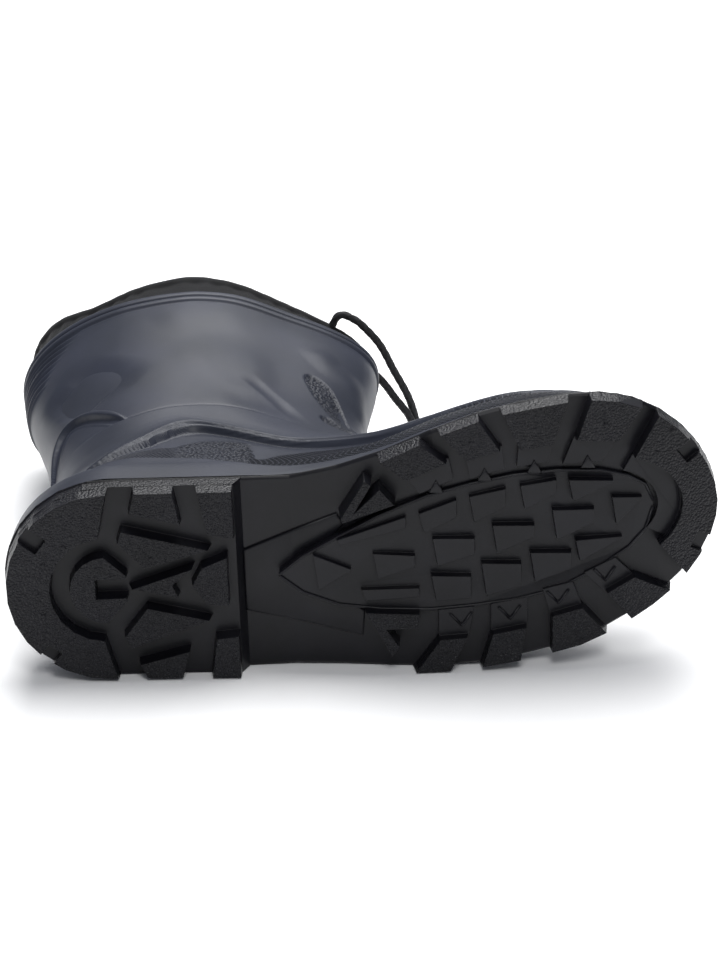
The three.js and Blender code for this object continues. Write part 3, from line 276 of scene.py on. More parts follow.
# Mesh of a cord: length of a step and of one turn of its braid in mm, sides, and strands each way
CORD_STEP = 0.5
BRAID_TURN = 5
CORD_SIDES = 32
CORD_STRANDS = 4

# Small forms on the tread, by shares of LENGTH along and BALL_WIDTH across: middles of the raised
# triangles on the medial low blocks and of the arrows on the lateral ones, which stand on the low
# blocks' level above the ground
LOW_LEVEL = 4.2
LOW_RISE = 0.9
TRIANGLE_SLOPE = 0.7
ARROW_WIDE = 1.2
TRIANGLES = [(0.603, -0.325), (0.67, -0.363), (0.738, -0.385), (0.812, -0.39)]
ARROWS = [(0.632, 0.2), (0.7, 0.182), (0.768, 0.13), (0.834, 0.055)]
TRIANGLE_SHAPE = [(-0.010, 0.022), (0.0, -0.024), (0.010, 0.026)]
ARROW_SHAPE = [(-0.014, -0.022), (0.002, 0.026), (0.016, -0.024)]

# Pins left by the mould's vents, with the radius and depth of each ring in mm
PIN_RINGS = [(1.0, 0.5), (1.0, -0.2), (0.7, -0.4)]
PINS = [
    (0.089, -0.168), (0.059, -0.101), (0.051, 0.014), (0.054, 0.098), (0.091, 0.207),
    (0.208, -0.107), (0.201, 0.154), (0.929, -0.486), (0.801, 0.3), (0.652, -0.498),
    (0.836, -0.537),
]

# The raised plate of the waist, by LENGTH and BALL_WIDTH, its front under the field
WAIST_PLATE = [
    (0.334, -0.082), (0.4, -0.148), (0.465, -0.214), (0.475, -0.17), (0.44, -0.08),
    (0.41, -0.02), (0.405, 0.03), (0.43, 0.08), (0.47, 0.12), (0.5, 0.17),
    (0.496, 0.272), (0.415, 0.213), (0.334, 0.158),
]
WAIST_RISE = 1.4
WAIST_SLOPE = 0.8

# Edge of the low field in the forefoot, from its rear tip, with the lip along it
FIELD = table(
    "along medial lateral",
    (0.383, -0.005, 0.0),
    (0.415, -0.07, 0.07),
    (0.464, -0.138, 0.125),
    (0.523, -0.218, 0.15),
    (0.592, -0.287, 0.161),
    (0.652, -0.326, 0.152),
    (0.711, -0.352, 0.136),
    (0.77, -0.36, 0.103),
    (0.829, -0.349, 0.028),
    (0.869, -0.317, -0.037),
    (0.893, -0.276, -0.101),
    (0.904, -0.209, -0.184),
)
FIELD_LEVEL = 5.6
LIP_WIDE = 1.3
LIP_RISE = 0.9

# Floor between the lugs, which arches up at the waist
LUG_DEPTH = 7
ARCH_HEIGHT = 13
ARCH = table("along arch", (0.36, 1), (0.42, 0.95), (0.5, 0.6), (0.6, 0))

# Sections of a raised plate, as shares of its rise and slope, and of a thin lip, as shares of its
# width and rise
PLATE_SECTION = [(-0.6, 0), (0.6, 0), (0.88, 0.35), (1.0, 1.0)]
LIP_SECTION = [(-0.5, -0.6), (-0.5, 0.5), (-0.25, 0.95), (0.25, 0.95), (0.5, 0.5), (0.5, -0.6)]

# Pebbled faces: those near the ground and those of the sole's side, with the stretches of the heel
# and toe in mm where every upright face is the side's
GROUND_NEAR = 1.5
SIDE_FROM = 0.86
HEEL_END = 30
TOE_END = 285

# Step in up and turn over which the skin's slope is taken
STEP = 1e-3


# The boot's own frame in the row's, from the two treads that the record states

TREAD_POINTS = {"heel_tread": (92, 0), "forefoot_tread": (204, -61)}


def boot_matrix():
    """Turns boot millimetres into the row's metres."""
    mounts = {m["name"]: m for m in frame["record"]["mounts"]}
    heel = np.array(mounts["heel_tread"]["pos_m"])
    fore = np.array(mounts["forefoot_tread"]["pos_m"])
    up = -np.array(mounts["heel_tread"]["axis"])
    from_heel = np.array(TREAD_POINTS["heel_tread"], float)
    run = np.array(TREAD_POINTS["forefoot_tread"]) - from_heel
    ahead = (fore - heel) - up * ((fore - heel) @ up)
    ahead /= np.linalg.norm(ahead)
    aside = np.cross(up, ahead)
    cos, sin = run / np.linalg.norm(run)
    toe = cos * ahead - sin * aside
    lateral = sin * ahead + cos * aside
    turned = np.column_stack([toe, lateral, up])
    made = np.eye(4)
    made[:3, :3] = turned * MM
    made[:3, 3] = heel - turned @ np.array([*from_heel, 0]) * MM
    return made


BOOT = boot_matrix()


def to_row(points):
    """Boot millimetres to the row's metres."""
    return points @ BOOT[:3, :3].T + BOOT[:3, 3]


# The shell's form


def share(turn):
    """How far along its section a turn lies, from 0 at the back to 1 at the front."""
    return (1 - np.cos(turn)) / 2


def side_of(turn):
    """1 on the lateral side and -1 on the medial side."""
    return np.sign(np.sin(turn))


def mix(a, b, t):
    return a + (b - a) * t


def centre_at(x):
    """The sole's centre line at a length from the heel's back, as in the next functions."""
    return -TOE_SWING * follow(PLAN, "along", "swing", x / LENGTH)


def half_at(x):
    return follow(PLAN, "along", "half", x / LENGTH)


def spring_at(x):
    return TOE_SPRING * follow(PROFILE, "along", "spring", x / LENGTH)


def rim_at(x):
    return EDGE_HEIGHT * follow(PROFILE, "along", "rim", x / LENGTH) + spring_at(x)


def seam_at(x):
    return EDGE_HEIGHT * follow(PROFILE, "along", "seam", x / LENGTH) + spring_at(x)


def end_round(distance, length, power):
    """Width left near a rounded end, 0 at the end and 1 from one rounding length inwards."""
    u = np.clip(distance / length, 0, 1)
    return (1 - (1 - u) ** power) ** (1 / power)


def skin_point(up, turn):
    """A point of the shell's outer skin, before its steps."""
    up, turn = np.broadcast_arrays(up, turn)

    def at(column):
        return follow(SECTIONS, "up", column, up)

    back = at("back") * LENGTH
    front = at("front") * LENGTH
    x = mix(back, front, share(turn))
    ball_share = ease(x / LENGTH, 0.3, 0.62)
    toe_power = mix(TOE_POWER, 2, ease(up, 0.08, 0.25))
    half = (
        half_at(x)
        * mix(at("heel"), at("ball"), ball_share)
        * end_round(x - back, at("heel_round") * LENGTH, HEEL_POWER)
        * end_round(front - x, at("toe_round") * LENGTH, toe_power)
    )
    top = SHELL_HEIGHT - FRONT_DIP * ease(x / LENGTH, 0.25, 0.56)
    y = centre_at(x) + side_of(turn) * half
    return np.stack([x, y, mix(seam_at(x), top, up)], -1)


def skin_normal(up, turn):
    """The way out of the skin at a place."""
    rise = skin_point(up + STEP, turn) - skin_point(up - STEP, turn)
    run = skin_point(up, turn + STEP) - skin_point(up, turn - STEP)
    normal = np.cross(rise, run)
    return normal / np.linalg.norm(normal, axis=-1, keepdims=True)


def skin(up, turn, proud):
    """The skin moved outwards along its normal, or inwards where proud is negative."""
    return skin_point(up, turn) + skin_normal(up, turn) * np.asarray(proud)[..., None]


def up_of(rise, turn):
    """The section that lies so far above the sole's rim."""
    x = share(turn) * LENGTH
    return (rim_at(x) + rise - seam_at(x)) / (SHELL_HEIGHT - seam_at(x))


def turn_of(along, up):
    """The turn at which a section passes a place along the boot, on either side."""
    back = follow(SECTIONS, "up", "back", up)
    front = follow(SECTIONS, "up", "front", up)
    return np.arccos(np.clip(1 - 2 * (along - back) / (front - back), -1, 1))


# Relief on the shell, worked out over its grid of sections and turns


class Skin:
    """The shell's grid with the places that its relief is drawn by, in mm over the skin."""

    def __init__(self, turns, ups):
        self.turn = np.broadcast_to(turns, ups.shape)
        self.up = ups
        self.share = share(self.turn)
        self.points = skin_point(self.up, self.turn)
        self.normals = skin_normal(self.up, self.turn)
        self.height = self.points[..., 2]
        self.rise = self.height - rim_at(self.points[..., 0])
        self.arc = self.arcs()

    def arcs(self):
        """How far each place lies from the heel's back line, round its own side."""
        steps = np.linalg.norm(np.diff(self.points[..., :2], axis=1), axis=-1)
        gone = np.concatenate([np.zeros((len(steps), 1)), np.cumsum(steps, 1)], 1)
        first = np.linalg.norm(self.points[:, 0, :2] - skin_point(self.up[:, 0], 0.0)[:, :2], axis=-1)
        whole = gone[:, -1:] + 2 * first[:, None]
        gone = gone + first[:, None]
        return np.minimum(gone, whole - gone)

    def place(self, up, turn):
        """Arc and height of a place on a half turn from the heel's back."""
        row = np.argmin(np.abs(self.up[:, 0] - up))
        half = self.turn[row] <= math.pi
        arc = np.interp(turn, self.turn[row][half], self.arc[row][half])
        height = skin_point(np.array(up), np.array(turn))[2]
        return float(arc), float(height)

    def line(self, places):
        """Distance from a drawn line, how far along it the nearest place is, and which side."""
        far = np.full(self.up.shape, 1e9)
        gone = np.zeros(self.up.shape)
        over = np.zeros(self.up.shape)
        count = len(places) - 1
        for i in range(count):
            start = np.array(places[i])
            run = np.array(places[i + 1]) - start
            size = run @ run
            to_arc = self.arc - start[0]
            to_height = self.height - start[1]
            t = np.clip((to_arc * run[0] + to_height * run[1]) / size, 0, 1)
            d_arc = to_arc - t * run[0]
            d_height = to_height - t * run[1]
            distance = np.hypot(d_arc, d_height)
            near = distance < far
            far = np.where(near, distance, far)
            gone = np.where(near, (i + t) / count, gone)
            over = np.where(near, np.sign(run[0] * d_height - run[1] * d_arc), over)
        return far, gone, over


def level_of(at, up, first):
    """The wall level of a section's place, so that both waves keep a level of their own."""
    lower = follow(WAVES, "from", "lower", at)
    upper = follow(WAVES, "from", "upper", at)
    below = mix(WAVES_FROM, LOWER_LEVEL, (up - first) / (lower - first))
    between = mix(LOWER_LEVEL, UPPER_LEVEL, (up - lower) / (upper - lower))
    above = mix(UPPER_LEVEL, WAVES_TO, (up - upper) / (WAVES_TO - upper))
    inside = np.where(up < lower, below, np.where(up < upper, between, above))
    return np.where(up < first, 0, np.where(up > WAVES_TO, up, inside))


# Height of the shell's waves by wall level: the lower crest with the hollow under it, and the
# softer swell that ends in a groove
CREST_SHAPE = table(
    "level proud",
    (0.12, 0),
    (0.17, -0.35),
    (0.205, -0.85),
    (0.219, -0.8),
    (0.223, 0.6),
    (0.228, 0.62),
    (0.232, 0.2),
    (0.237, 0.9),
    (0.243, 1.0),
    (0.262, 0.5),
    (0.295, 0.15),
    (0.33, 0),
)
SWELL_SHAPE = table(
    "level proud",
    (0.262, 0),
    (0.295, 0.2),
    (0.33, 0.5),
    (0.37, 0.8),
    (0.405, 1.1),
    (0.415, 0.9),
    (0.424, -0.7),
    (0.434, -0.25),
    (0.46, 0),
)
BEAD_SHAPE = table(
    "up proud",
    (0.946, 0),
    (0.951, -0.2),
    (0.956, 0.75),
    (0.963, 1),
    (0.97, 0.75),
    (0.974, -0.3),
    (0.979, 0.85),
    (0.986, 1.05),
    (0.994, 0.9),
    (1.0, 0.3),
)

# Tops of the patterned stretches under the lower wave: feathered lines, stipple, then mesh
PATTERN_TOP = table(
    "along up",
    (0.115, 0.19),
    (0.139, 0.217),
    (0.163, 0.224),
    (0.192, 0.224),
    (0.22, 0.22),
    (0.239, 0.217),
    (0.257, 0.233),
    (0.287, 0.258),
    (0.322, 0.263),
    (0.345, 0.235),
    (0.356, 0.13),
    (0.395, 0.157),
    (0.439, 0.171),
    (0.47, 0.169),
    (0.501, 0.158),
    (0.6, 0.12),
    (0.75, 0.085),
    (0.9, 0.06),
)

# Where each pattern begins and ends, as shares along the boot
PATTERN_RUNS = {
    "feather": ((0.105, 0.125), (0.235, 0.25)),
    "stipple": ((0.235, 0.25), (0.343, 0.352)),
    "mesh": ((0.343, 0.352), (0.84, 0.9)),
}

# Soft folds and hollows: places as shares along the boot and up the shell, width and depth in mm.
# A negative depth is a ridge.
FOLDS = [
    {"places": [(0.342, 0.621), (0.366, 0.577), (0.392, 0.523), (0.428, 0.4)], "wide": 6, "deep": 0.7},
    {"places": [(0.052, 0.6), (0.085, 0.632), (0.11, 0.66), (0.145, 0.755)], "wide": 26, "deep": 4.4},
    {"places": [(0.075, 0.55), (0.1, 0.6), (0.14, 0.68)], "wide": 15, "deep": 1.2},
    {"places": [(0.5, 0.72), (0.49, 0.6), (0.5, 0.5)], "wide": 16, "deep": 1.4},
    {"places": [(0.44, 0.86), (0.47, 0.78), (0.52, 0.74)], "wide": 12, "deep": -0.9},
    {"places": [(0.25, 0.62), (0.32, 0.66), (0.4, 0.64)], "wide": 30, "deep": -0.8},
    {"places": [(0.2, 0.86), (0.27, 0.9), (0.36, 0.9)], "wide": 22, "deep": -0.7},
    {"places": [(0.3, 0.5), (0.36, 0.49), (0.42, 0.47)], "wide": 14, "deep": 0.7},
]

# Recessed ankle leaves, from their upper tip to their lower one, with their half widths in mm
LEAVES = [
    {"places": [(0.438, 0.712), (0.456, 0.665), (0.47, 0.6), (0.489, 0.49)], "half": 7.5},
    {"places": [(0.452, 0.53), (0.464, 0.495), (0.488, 0.458)], "half": 5.2},
]
LEAF_DEPTH = 1.2


def drawn(grid, places):
    """Places along and up the boot as arcs and heights over the skin."""
    return [grid.place(up, float(turn_of(along, up))) for along, up in places]


def wave_height(grid, level, sizes):
    """The lower wave's crest and the upper wave's swell."""
    crest = follow(WAVES, "from", "crest", grid.share) * follow(CREST_SHAPE, "level", "proud", level)
    swell = follow(WAVES, "from", "step", grid.share) * follow(SWELL_SHAPE, "level", "proud", level)
    return sizes.crest * crest + sizes.swell * swell


def fold_depth(grid):
    """The soft folds and hollows of the shaft and the ankle."""
    deep = np.zeros(grid.up.shape)
    for fold in FOLDS:
        far, gone, _ = grid.line(drawn(grid, fold["places"]))
        ends = ease(gone, 0, 0.3) * (1 - ease(gone, 0.7, 1))
        fade = np.where((gone > 0) & (gone < 1), ends, 0)
        deep = deep + fold["deep"] * bump(far, fold["wide"]) * fade
    return deep


def leaf_mask(grid):
    """1 inside the ankle leaves and 0 outside."""
    mask = np.zeros(grid.up.shape)
    for leaf in LEAVES:
        far, gone, _ = grid.line(drawn(grid, leaf["places"]))
        half = leaf["half"] * np.sqrt(np.clip(4 * gone * (1 - gone), 0, 1)) + 0.01
        mask = np.maximum(mask, 1 - ease(far, half - 0.7, half + 0.5))
    return mask


def pattern_masks(grid, level, foot):
    """Where the fine patterns under the lower wave lie, one after the other along the boot."""
    along = grid.points[..., 0] / LENGTH
    under = (follow(PATTERN_TOP, "along", "up", along) - grid.up) * SHELL_HEIGHT
    clear = np.where(along < 0.35, 1 - ease(level, 0.17, 0.19), 1)
    band = ease(under, 0, 1.2) * clear * ease(grid.rise, foot, foot + 1.2)
    return {
        name: band * ease(along, *begins) * (1 - ease(along, *ends))
        for name, (begins, ends) in PATTERN_RUNS.items()
    }


def relief(grid, sizes):
    """How far the moulded surface stands proud of the skin, in mm, and where its patterns lie."""
    fox_height = FOXING_HEIGHT * follow(PROFILE, "along", "foxing", grid.share)
    low, high = (part * fox_height for part in FOXING_EDGE)
    level = level_of(grid.share, grid.up, up_of(high, grid.turn))
    leaf = leaf_mask(grid)
    proud = FOXING * (1 - ease(grid.rise, low, high))
    proud = proud + wave_height(grid, level, sizes)
    proud = proud + sizes.bead * follow(BEAD_SHAPE, "up", "proud", grid.up)
    proud = proud + fin_height(grid) + rib_height(grid, sizes)
    proud = proud - sizes.folds * fold_depth(grid) - LEAF_DEPTH * leaf
    return proud, {**pattern_masks(grid, level, 1.04 * fox_height), "leaf": leaf}


def fin_height(grid):
    """The raised fin from the heel to its round tip, on both sides."""
    turns = np.linspace(FIN["turn"][0], FIN["turn"][-1], 40)
    places = [grid.place(float(follow(FIN, "turn", "up", t)), t) for t in turns]
    far, gone, over = grid.line(places)
    turn = mix(turns[0], turns[-1], gone)
    tall = follow(FIN, "turn", "proud", turn)
    half = follow(FIN, "turn", "wide", turn) / 2 * tall / (tall + RELIEF_SEAT)
    flat = (1 - np.clip(far / half, 0, 1) ** 4) * 0.95
    beyond = np.clip((far - half) / TROUGH_WIDE, 0, 1)
    trough = np.where((over < 0) & (far > half), (1 - beyond) ** 2 * beyond * 4, 0)
    second = bump(far - half - LINE_OFF, LINE_HALF) * (over < 0)
    ends = ease(gone, 0.1, 0.4) * (1 - ease(gone, 0.93, 1))
    return tall * flat - TROUGH_DEEP * ends * trough + LINE_TALL * ends * second


def rib_height(grid, sizes):
    """The stacked ribs round the back of the shaft."""
    turn = np.minimum(grid.turn, 2 * math.pi - grid.turn)
    made = np.zeros(grid.up.shape)
    for k in range(RIB_COUNT):
        reach = RIB_REACH - k * RIB_SHORTER
        off = (grid.up - RIB_TOP + k * RIB_PITCH) * SHELL_HEIGHT
        fade = np.clip(1 - (turn / reach) ** 4, 0, 1)
        groove = bump(off - RIB_PITCH * SHELL_HEIGHT / 2, GROOVE_WIDE)
        made = made + fade * (sizes.rib * bump(off, RIB_WIDE) - RIB_GROOVE * groove)
    return made


# Meshes


def mesh_object(name, points, faces, material):
    """A piece of the boot from points in the row's metres, riding on its body."""
    mesh = bpy.data.meshes.new(name)
    mesh.from_pydata(points.tolist(), [], faces)
    mesh.polygons.foreach_set("use_smooth", [True] * len(mesh.polygons))
    mesh.materials.append(material)
    mesh.update()
    made = bpy.data.objects.new(name, mesh)
    bpy.context.scene.collection.objects.link(made)
    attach(made, "root")
    return made


def grid_faces(rows, columns, flip=False):
    """Quads between rows of points, each row closed round."""
    r = np.arange(rows - 1)[:, None] * columns
    c = np.arange(columns)[None, :]
    d = (c + 1) % columns
    quads = np.stack([r + c, r + d, r + columns + d, r + columns + c], -1).reshape(-1, 4)
    if flip:
        quads = quads[:, ::-1]
    return quads.tolist()


def attribute(made, name, values):
    """Stores one number for each vertex, for the material to read."""
    layer = made.data.attributes.new(name, "FLOAT", "POINT")
    layer.data.foreach_set("value", np.asarray(values, np.float32).ravel())


def smooth_path(points, step):
    """Points at equal steps on a smooth curve through a cord's chosen points."""
    knots = np.array(points, float)
    padded = np.concatenate([[2 * knots[0] - knots[1]], knots, [2 * knots[-1] - knots[-2]]])
    fine = []
    for i in range(1, len(padded) - 2):
        a, b, c, d = padded[i - 1 : i + 3]
        t = np.linspace(0, 1, 24, endpoint=False)[:, None]
        linear = (c - a) * t
        square = (2 * a - 5 * b + 4 * c - d) * t**2
        cube = (3 * b - a - 3 * c + d) * t**3
        fine.append((2 * b + linear + square + cube) / 2)
    fine = np.concatenate([*fine, knots[-1:]])
    gone = np.concatenate([[0], np.cumsum(np.linalg.norm(np.diff(fine, axis=0), axis=1))])
    stops = np.linspace(0, gone[-1], max(int(gone[-1] / step), 2) + 1)
    return np.stack([np.interp(stops, gone, fine[:, k]) for k in range(3)], 1)


def braided_tube(path, closed=False, rounded=(False, False)):
    """The drawcord's braided surface round its path, in metres."""
    radius = CORD_DIAMETER / 2 * MM
    if closed:
        along = np.roll(path, -1, 0) - np.roll(path, 1, 0)
    else:
        along = np.gradient(path, axis=0)
    along /= np.linalg.norm(along, axis=1, keepdims=True)
    across = np.zeros_like(path)
    across[0] = np.cross(along[0], (0.3, 0.9, 0.2))
    for i in range(len(path)):
        if i:
            across[i] = across[i - 1] - along[i] * (across[i - 1] @ along[i])
        across[i] /= np.linalg.norm(across[i])
    beside = np.cross(along, across)
    gone = np.concatenate([[0], np.cumsum(np.linalg.norm(np.diff(path, axis=0), axis=1))])
    around = np.arange(CORD_SIDES) * 2 * math.pi / CORD_SIDES
    lay = gone[:, None] / (BRAID_TURN * MM) * 2 * math.pi
    weave = np.maximum(np.cos(CORD_STRANDS * around + lay), np.cos(CORD_STRANDS * around - lay))
    size = radius * (0.94 + 0.06 * weave)
    for end, round_off in zip((gone, gone[-1] - gone), rounded):
        if round_off:
            size = size * np.sqrt(1 - (1 - np.clip(end / radius, 0.02, 1)) ** 2)[:, None]
    cos, sin = np.cos(around)[None, :, None], np.sin(around)[None, :, None]
    ring = cos * across[:, None] + sin * beside[:, None]
    return (path[:, None] + ring * size[..., None]).reshape(-1, 3)


# Materials


def linear(hex_colour):
    """An sRGB hex colour as the linear one that Blender's sockets take."""
    parts = [int(hex_colour[i : i + 2], 16) / 255 for i in (1, 3, 5)]
    return tuple(c / 12.92 if c <= 0.04045 else ((c + 0.055) / 1.055) ** 2.4 for c in parts)


def add_node(tree, kind, inputs=(), **settings):
    """Adds a node with its settings, and sets its inputs or links them to sockets or nodes."""
    made = tree.nodes.new("ShaderNode" + kind)
    for name, value in settings.items():
        setattr(made, name, value)
    named = inputs if isinstance(inputs, dict) else dict(enumerate(inputs))
    for key, value in named.items():
        source = value.outputs[0] if isinstance(value, bpy.types.Node) else value
        if isinstance(source, bpy.types.NodeSocket):
            tree.links.new(source, made.inputs[key])
        else:
            made.inputs[key].default_value = source
    return made


def new_material(name):
    """An empty material, its tree and the row's coordinates in metres."""
    made = bpy.data.materials.new(name)
    made.use_nodes = True
    tree = made.node_tree
    tree.nodes.clear()
    return made, tree, add_node(tree, "TexCoord").outputs["Object"]


def cover(tree, looks, height_mm=None, edge_mm=0):
    """Ends a material with its looks, raised by a height in mm over edges of that radius."""
    if height_mm is not None:
        inputs = {"Height": height_mm, "Distance": MM, "Strength": 1.0}
        if edge_mm:
            inputs["Normal"] = add_node(tree, "Bevel", {"Radius": edge_mm * MM}, samples=4)
        looks = {**looks, "Normal": add_node(tree, "Bump", inputs)}
    shader = add_node(tree, "BsdfPrincipled", looks)
    add_node(tree, "OutputMaterial", {"Surface": shader})


def mottled(tree, place, patch_mm, detail, tones, roughness=0.55):
    """A colour that drifts between two tones over patches so many millimetres across."""
    inputs = {"Vector": place, "Scale": 1000 / patch_mm, "Detail": detail, "Roughness": roughness}
    ramp = add_node(tree, "ValToRGB", {"Fac": add_node(tree, "TexNoise", inputs)})
    for stop, position, tone in zip(ramp.color_ramp.elements, (0.35, 0.65), tones):
        stop.position = position
        stop.color = (*linear(tone), 1)
    return ramp


def grained(tree, place, grain_mm, detail, deep_mm, roughness=0.55):
    """Heights of an uneven skin whose grains are so many millimetres across and deep."""
    inputs = {"Vector": place, "Scale": 1000 / grain_mm, "Detail": detail, "Roughness": roughness}
    uneven = add_node(tree, "TexNoise", inputs)
    return add_node(tree, "Math", (uneven, deep_mm), operation="MULTIPLY")


def rippled(tree, distance, pitch_mm):
    """Even ripples between -1 and 1, so many millimetres apart."""
    turned = add_node(tree, "Math", (distance, 2 * math.pi / pitch_mm), operation="MULTIPLY")
    return add_node(tree, "Math", (turned,), operation="SINE")


# Pitches in mm of the shell's feathered lines, mesh and pits, of the tread's pebbles and of the
# nylon's threads, which are drawn three times as coarse as real ones so that they show
FEATHER_PITCH = 2.2
FEATHER_SLANT = -0.75
MESH_PITCH = 2.5
PIT_PITCH = 1.5
PEBBLE_PITCH = 1.1
THREAD_PITCH = 0.9

# Size in mm of the patches over which the shell's sheen changes
SHEEN_PATCH = 22

# Radius in mm of the moulded sole's edges
SOLE_EDGE = 0.6

# How far each pattern of the shell is raised, in mm, and how much painted shade darkens its hollows toward
# the shell's painted shade tone
PATTERN_LOOKS = {
    "feather": (0.6, -0.5),
    "stipple": (-0.8, 0.8),
    "mesh": (-0.9, 0.85),
    "leaf": (-0.6, 0.6),
}


def feathered(tree, arc, tall):
    """Fine lines that lean back over the shell."""
    slanted = add_node(tree, "Math", (tall, FEATHER_SLANT, arc), operation="MULTIPLY_ADD")
    return rippled(tree, slanted, FEATHER_PITCH)


def meshed(tree, arc, tall):
    """Square holes between bars that cross the shell both ways."""
    one_way = add_node(tree, "Math", (arc, tall), operation="ADD")
    other_way = add_node(tree, "Math", (arc, tall), operation="SUBTRACT")
    bars = [rippled(tree, way, 2 * MESH_PITCH) for way in (one_way, other_way)]
    crossed = add_node(tree, "Math", bars, operation="MULTIPLY")
    inputs = {
        "Value": add_node(tree, "Math", (crossed,), operation="ABSOLUTE"),
        "From Min": 0.1,
        "From Max": 0.4,
    }
    return add_node(tree, "MapRange", inputs, interpolation_type="SMOOTHSTEP")


def shell_rubber(colours):
    """Injection-moulded rubber with a satin skin: a soft sheen over a faint orange peel."""
    made, tree, place = new_material("moulded satin rubber")
    tone = mottled(tree, place, 46, 4, (colours.shell_dark, colours.shell_light))
    inputs = {"Vector": place, "Scale": 1000 / SHEEN_PATCH, "Detail": 5, "Roughness": 0.55}
    patches = add_node(tree, "TexNoise", inputs)
    rough = add_node(tree, "MapRange", {"Value": patches, "To Min": 0.36, "To Max": 0.5})
    arc = add_node(tree, "Attribute", attribute_name="arc_mm").outputs["Fac"]
    tall = add_node(tree, "Attribute", attribute_name="height_mm").outputs["Fac"]
    pits = add_node(tree, "TexVoronoi", {"Vector": place, "Scale": 1000 / PIT_PITCH}, feature="F1")
    patterns = {
        "feather": feathered(tree, arc, tall),
        "stipple": pits,
        "mesh": meshed(tree, arc, tall),
        "leaf": pits,
    }
    height = grained(tree, place, 0.9, 2, 0.02)
    # Painted shade: each pattern's hollows are darkened, by the share listed for that pattern
    painted_shade = 0.0
    for name, (deep, dark) in PATTERN_LOOKS.items():
        mask = add_node(tree, "Attribute", attribute_name=name).outputs["Fac"]
        part = add_node(tree, "Math", (patterns[name], mask), operation="MULTIPLY")
        height = add_node(tree, "Math", (part, deep, height), operation="MULTIPLY_ADD")
        painted_shade = add_node(tree, "Math", (part, dark, painted_shade), operation="MULTIPLY_ADD")
    # Painted shade: the colour goes toward a near-black tone and the specular level drops where the
    # patterns' hollows lie
    inputs = {0: painted_shade, 6: tone, 7: (*linear(colours.shell_painted_shade), 1)}
    specular_dimmed_by_painted_shade = add_node(tree, "Math", (painted_shade, -0.24, 0.24), operation="MULTIPLY_ADD")
    looks = {
        "Base Color": add_node(tree, "Mix", inputs, data_type="RGBA").outputs[2],
        "Roughness": rough,
        "IOR": 1.52,
        "Specular IOR Level": specular_dimmed_by_painted_shade,
    }
    cover(tree, looks, height)
    return made


def sole_rubber(colours):
    """Carbon-filled tread rubber: near black, matte, with a pebbled mould face."""
    made, tree, place = new_material("matte tread rubber")
    tone = mottled(tree, place, 30, 4, (colours.sole_dark, colours.sole_light))
    inputs = {"Vector": place, "Scale": 1000 / PEBBLE_PITCH}
    far = add_node(tree, "TexVoronoi", inputs, feature="F1")
    pebbles = add_node(tree, "Math", (far, -0.7, 0.7), operation="MULTIPLY_ADD")
    crinkles = grained(tree, place, 1.6, 3, 0.5)
    pebbled = add_node(tree, "Math", (pebbles, crinkles), operation="ADD")
    mask = add_node(tree, "Attribute", attribute_name="pebbled").outputs["Fac"]
    fine = grained(tree, place, 1.2, 2, 0.03)
    height = add_node(tree, "Math", (pebbled, mask, fine), operation="MULTIPLY_ADD")
    looks = {"Base Color": tone, "Roughness": 0.36, "Specular IOR Level": 0.24}
    cover(tree, looks, height, SOLE_EDGE)
    return made


def nylon(colours):
    """Plain-woven nylon: fine crossed threads with a dull sheen on each fold."""
    made, tree, place = new_material("woven nylon")
    around = add_node(tree, "Attribute", attribute_name="round_mm").outputs["Fac"]
    rise = add_node(tree, "Attribute", attribute_name="rise_mm").outputs["Fac"]
    threads = [rippled(tree, way, THREAD_PITCH) for way in (around, rise)]
    weave = add_node(tree, "Math", threads, operation="MULTIPLY")
    creases = grained(tree, place, 3, 3, 0.25)
    height = add_node(tree, "Math", (weave, 0.06, creases), operation="MULTIPLY_ADD")
    looks = {
        "Base Color": mottled(tree, place, 18, 4, (colours.collar_dark, colours.collar_light)),
        "Roughness": 0.8,
        "Specular IOR Level": 0.2,
        "Sheen Weight": 0.04,
        "Sheen Roughness": 0.4,
    }
    cover(tree, looks, height)
    return made


def braid(colours):
    """Braided polyester cord: raised strands with a slight gloss."""
    made, tree, place = new_material("braided polyester")
    looks = {
        "Base Color": mottled(tree, place, 2.5, 2, (colours.cord_dark, colours.cord_light)),
        "Roughness": 0.6,
        "Specular IOR Level": 0.3,
        "Sheen Weight": 0.05,
    }
    cover(tree, looks, grained(tree, place, 0.5, 2, 0.12))
    return made


def felt(colours):
    """Pressed felt: short matted fibres, no gloss."""
    made, tree, place = new_material("pressed felt")
    tone = mottled(tree, place, 1.2, 5, (colours.felt_dark, colours.felt_light), 0.7)
    cover(tree, {"Base Color": tone, "Roughness": 0.95}, grained(tree, place, 0.8, 5, 0.3, 0.7))
    return made


def studio_floor(colours):
    """Painted studio board: pale and even."""
    made, tree, _ = new_material("matte studio board")
    cover(tree, {"Base Color": (*linear(colours.floor), 1), "Roughness": 0.9})
    return made


# Sizes and colours that a user would change


def size_property(name, description, default, **more):
    return bpy.props.FloatProperty(name=name, description=description, default=default, **more)


def colour_property(name, description, default):
    return bpy.props.StringProperty(name=name, description=description, default=default)


class ShellSizes(bpy.types.PropertyGroup):
    """Relief of the moulded shell, in mm."""

    crest: size_property("Crest", "Height of the lower wave's crest in mm", 2.1, min=0)
    swell: size_property("Swell", "Height of the upper wave's swell in mm", 0.8, min=0)
    bead: size_property("Bead", "Height of the rim's bead in mm", 1.2, min=0)
    rib: size_property("Rear ribs", "Height of the ribs behind the shaft in mm", 1.1, min=0)
    folds: size_property("Folds", "Depth of the soft folds, as a share", 1.0, subtype="FACTOR")


class CollarSizes(bpy.types.PropertyGroup):
    """Folds of the gathered collar."""

    gathers: bpy.props.IntProperty(
        name="Gathers", description="Number of gathers round the hem", default=46, min=1
    )
    gather: size_property("Gather depth", "Depth of a gather at the hem in mm", 0.35, min=0)


